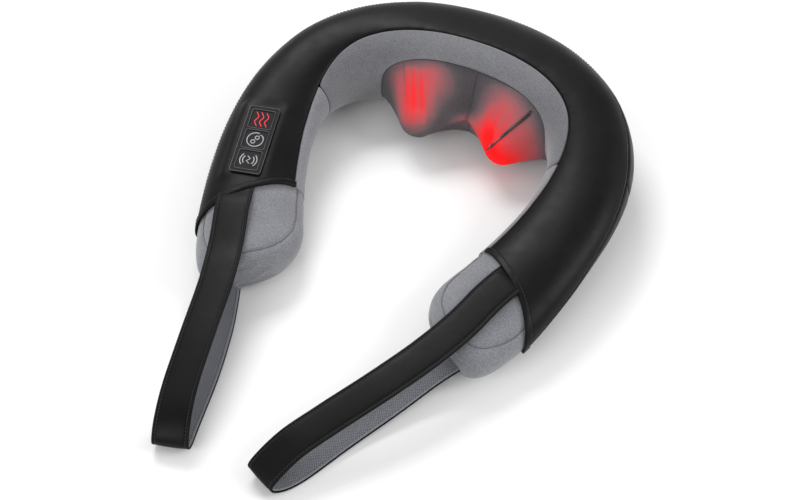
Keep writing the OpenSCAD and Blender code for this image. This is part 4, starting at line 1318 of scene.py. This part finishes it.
def bead(name, half_w, half_l, at_y):
    """A raised bead on the frame's top, round a button or round the whole pad."""
    corner = 2.0
    line = [arc(corner, 90 * k, 90 * k + 90, 6) + [sx * (half_w - corner), sy * (half_l - corner)]
            for k, (sx, sy) in enumerate(((1, 1), (-1, 1), (-1, -1), (1, -1)))]
    xy = np.concatenate([*line, line[0][:1]])
    at = np.column_stack([xy[:, 0], xy[:, 1] + at_y, np.full(len(xy), PAD_TOP + 0.05)])
    return tube(name, on_pad(at), 0.38, 8)


beads = [bead(f"bead{k}", 11.0, 10.5, k * BUTTON_PITCH) for k in (-1, 0, 1)]
beads.append(bead("bead_rim", PAD_W / 2 - 1.0, PAD_L / 2 - 1.0, 0))
finish_piece(join("control_pad_beads", beads), PAD_EDGE, "button_rubber")

# ---- Foam under the covers -----------------------------------------------------------------
COVER_T, FOAM_T, FOAM_GAP = 1.4, 7.4, 1.2


def foam_shell(name, t, v, node, depth, thick):
    places = np.stack(np.broadcast_arrays(t, v), axis=-1)
    pts = on_skin(places, depth + 0.25)
    pts = pts + 0.12 * waves(pts, 25, 11)[..., None]
    shell = to_object(name, pts, grid_faces(*pts.shape[:2]))
    inside = on_skin(places, depth + thick)
    face_out(shell, inside)
    thicken(shell, thick - 0.5)
    return finish_piece(shell, FOAM, "foam", replaces=[node])


t = np.linspace(-0.54, 0.54, 110)[:, None]
foam_shell("foam_sheet_back", t, mix(seam(t) + 5, 282, np.linspace(0, 1, 50)), "foam_back",
           COVER_T + FOAM_GAP, FOAM_T)
fine = np.linspace(0.08, 0.93, 14)[None, :, None]
a = ring_angles()[::2]
ring = mix(window_edge(a)[:, None], panel_edge(a)[:, None], fine)
ring = np.concatenate([ring, ring[:1]])
foam_shell("foam_sheet_neck", ring[..., 0], ring[..., 1], "foam_neck", 2.1, 4.0)


def foam_arm(name, s):
    """Hollow foam body of one arm, with its ends closed round the hollow."""
    t = np.linspace(0.558, 0.858, 34)[:, None]
    v = np.linspace(0, 360, 72, endpoint=False)[None]
    outer = skin(t, v, 2.9, 2.9)
    inner = mix(outer.mean(axis=1, keepdims=True), outer, 0.5)
    pts = np.concatenate([outer, inner[::-1]])
    pts = pts + 0.15 * waves(pts, 22, 12)[..., None]
    pts[..., 0] *= s
    body = to_object(name, pts, grid_faces(*pts.shape[:2], wrap_cols=True, wrap_rows=True,
                                           flip=s > 0))
    return finish_piece(close_out(body), FOAM, "foam", replaces=[name.replace("core", "arm")])


foam_arm("foam_core_left", -1)
foam_arm("foam_core_right", 1)

# ---- Camera, floor and light ---------------------------------------------------------------
AZIMUTH, ELEVATION, ROLL = math.radians(25.401), math.radians(49.343), math.radians(-1.276)
TARGET = np.array([0, -158.6, 43.8])
DISTANCE, FOCAL = 1872, 91.956

back = np.array([math.sin(AZIMUTH) * math.cos(ELEVATION),
                 -math.cos(AZIMUTH) * math.cos(ELEVATION), math.sin(ELEVATION)])
right = np.array([math.cos(AZIMUTH), math.sin(AZIMUTH), 0])
up = np.cross(back, right)
image_x = right * math.cos(ROLL) + up * math.sin(ROLL)
image_y = -right * math.sin(ROLL) + up * math.cos(ROLL)
camera = add_object("camera", bpy.data.cameras.new("camera"))
camera.data.lens = FOCAL
camera.data.sensor_width = 36
camera.data.shift_x, camera.data.shift_y = -0.01535, -0.08598
camera.data.clip_start, camera.data.clip_end = 0.01, 60
camera.matrix_world = Matrix.LocRotScale(
    Vector((TARGET + back * DISTANCE) * MM),
    Matrix(np.stack([image_x, image_y, back], axis=1).tolist()).to_quaternion(), None)
bpy.context.scene.camera = camera

floor_material = Nodes("pale_floor", rough=0.8)
floor_material.shade(floor_material.noise(3, 2),
                     (0.3, (0.86, 0.86, 0.86)), (0.7, (0.88, 0.88, 0.88)))
span = np.linspace(-9000, 9000, 13)
floor_points = np.stack([*np.meshgrid(span, span, indexing="ij"), np.full((13, 13), -0.4)], axis=-1)
floor = to_object("floor", floor_points, grid_faces(13, 13))
floor.data.materials.append(floor_material.material)

world = bpy.data.worlds.new("studio")
world.use_nodes = True
world.node_tree.nodes["Background"].inputs["Color"].default_value = (1, 1, 1, 1)
world.node_tree.nodes["Background"].inputs["Strength"].default_value = 0.62
bpy.context.scene.world = world


def soft_light(name, at, aim, size, power):
    """A rectangular softbox of size metres at a place, aimed at a point."""
    lamp = bpy.data.lights.new(name, "AREA")
    lamp.shape = "RECTANGLE"
    lamp.size, lamp.size_y = size
    lamp.energy = power
    obj = add_object(name, lamp)
    obj.location = at
    obj.rotation_mode = "QUATERNION"
    obj.rotation_quaternion = (Vector(aim) - Vector(at)).to_track_quat("-Z", "Y")


soft_light("key_softbox", (-1.2, 1.1, 1.9), (0, -0.15, 0.03), (1.3, 0.9), 36)
soft_light("side_softbox", (1.9, 0.3, 1.2), (0, -0.15, 0.03), (0.9, 1.2), 22)
soft_light("front_fill", (-0.6, -2.2, 1.4), (0, -0.15, 0.03), (1.6, 0.9), 20)
bpy.context.scene.view_settings.view_transform = "Standard"
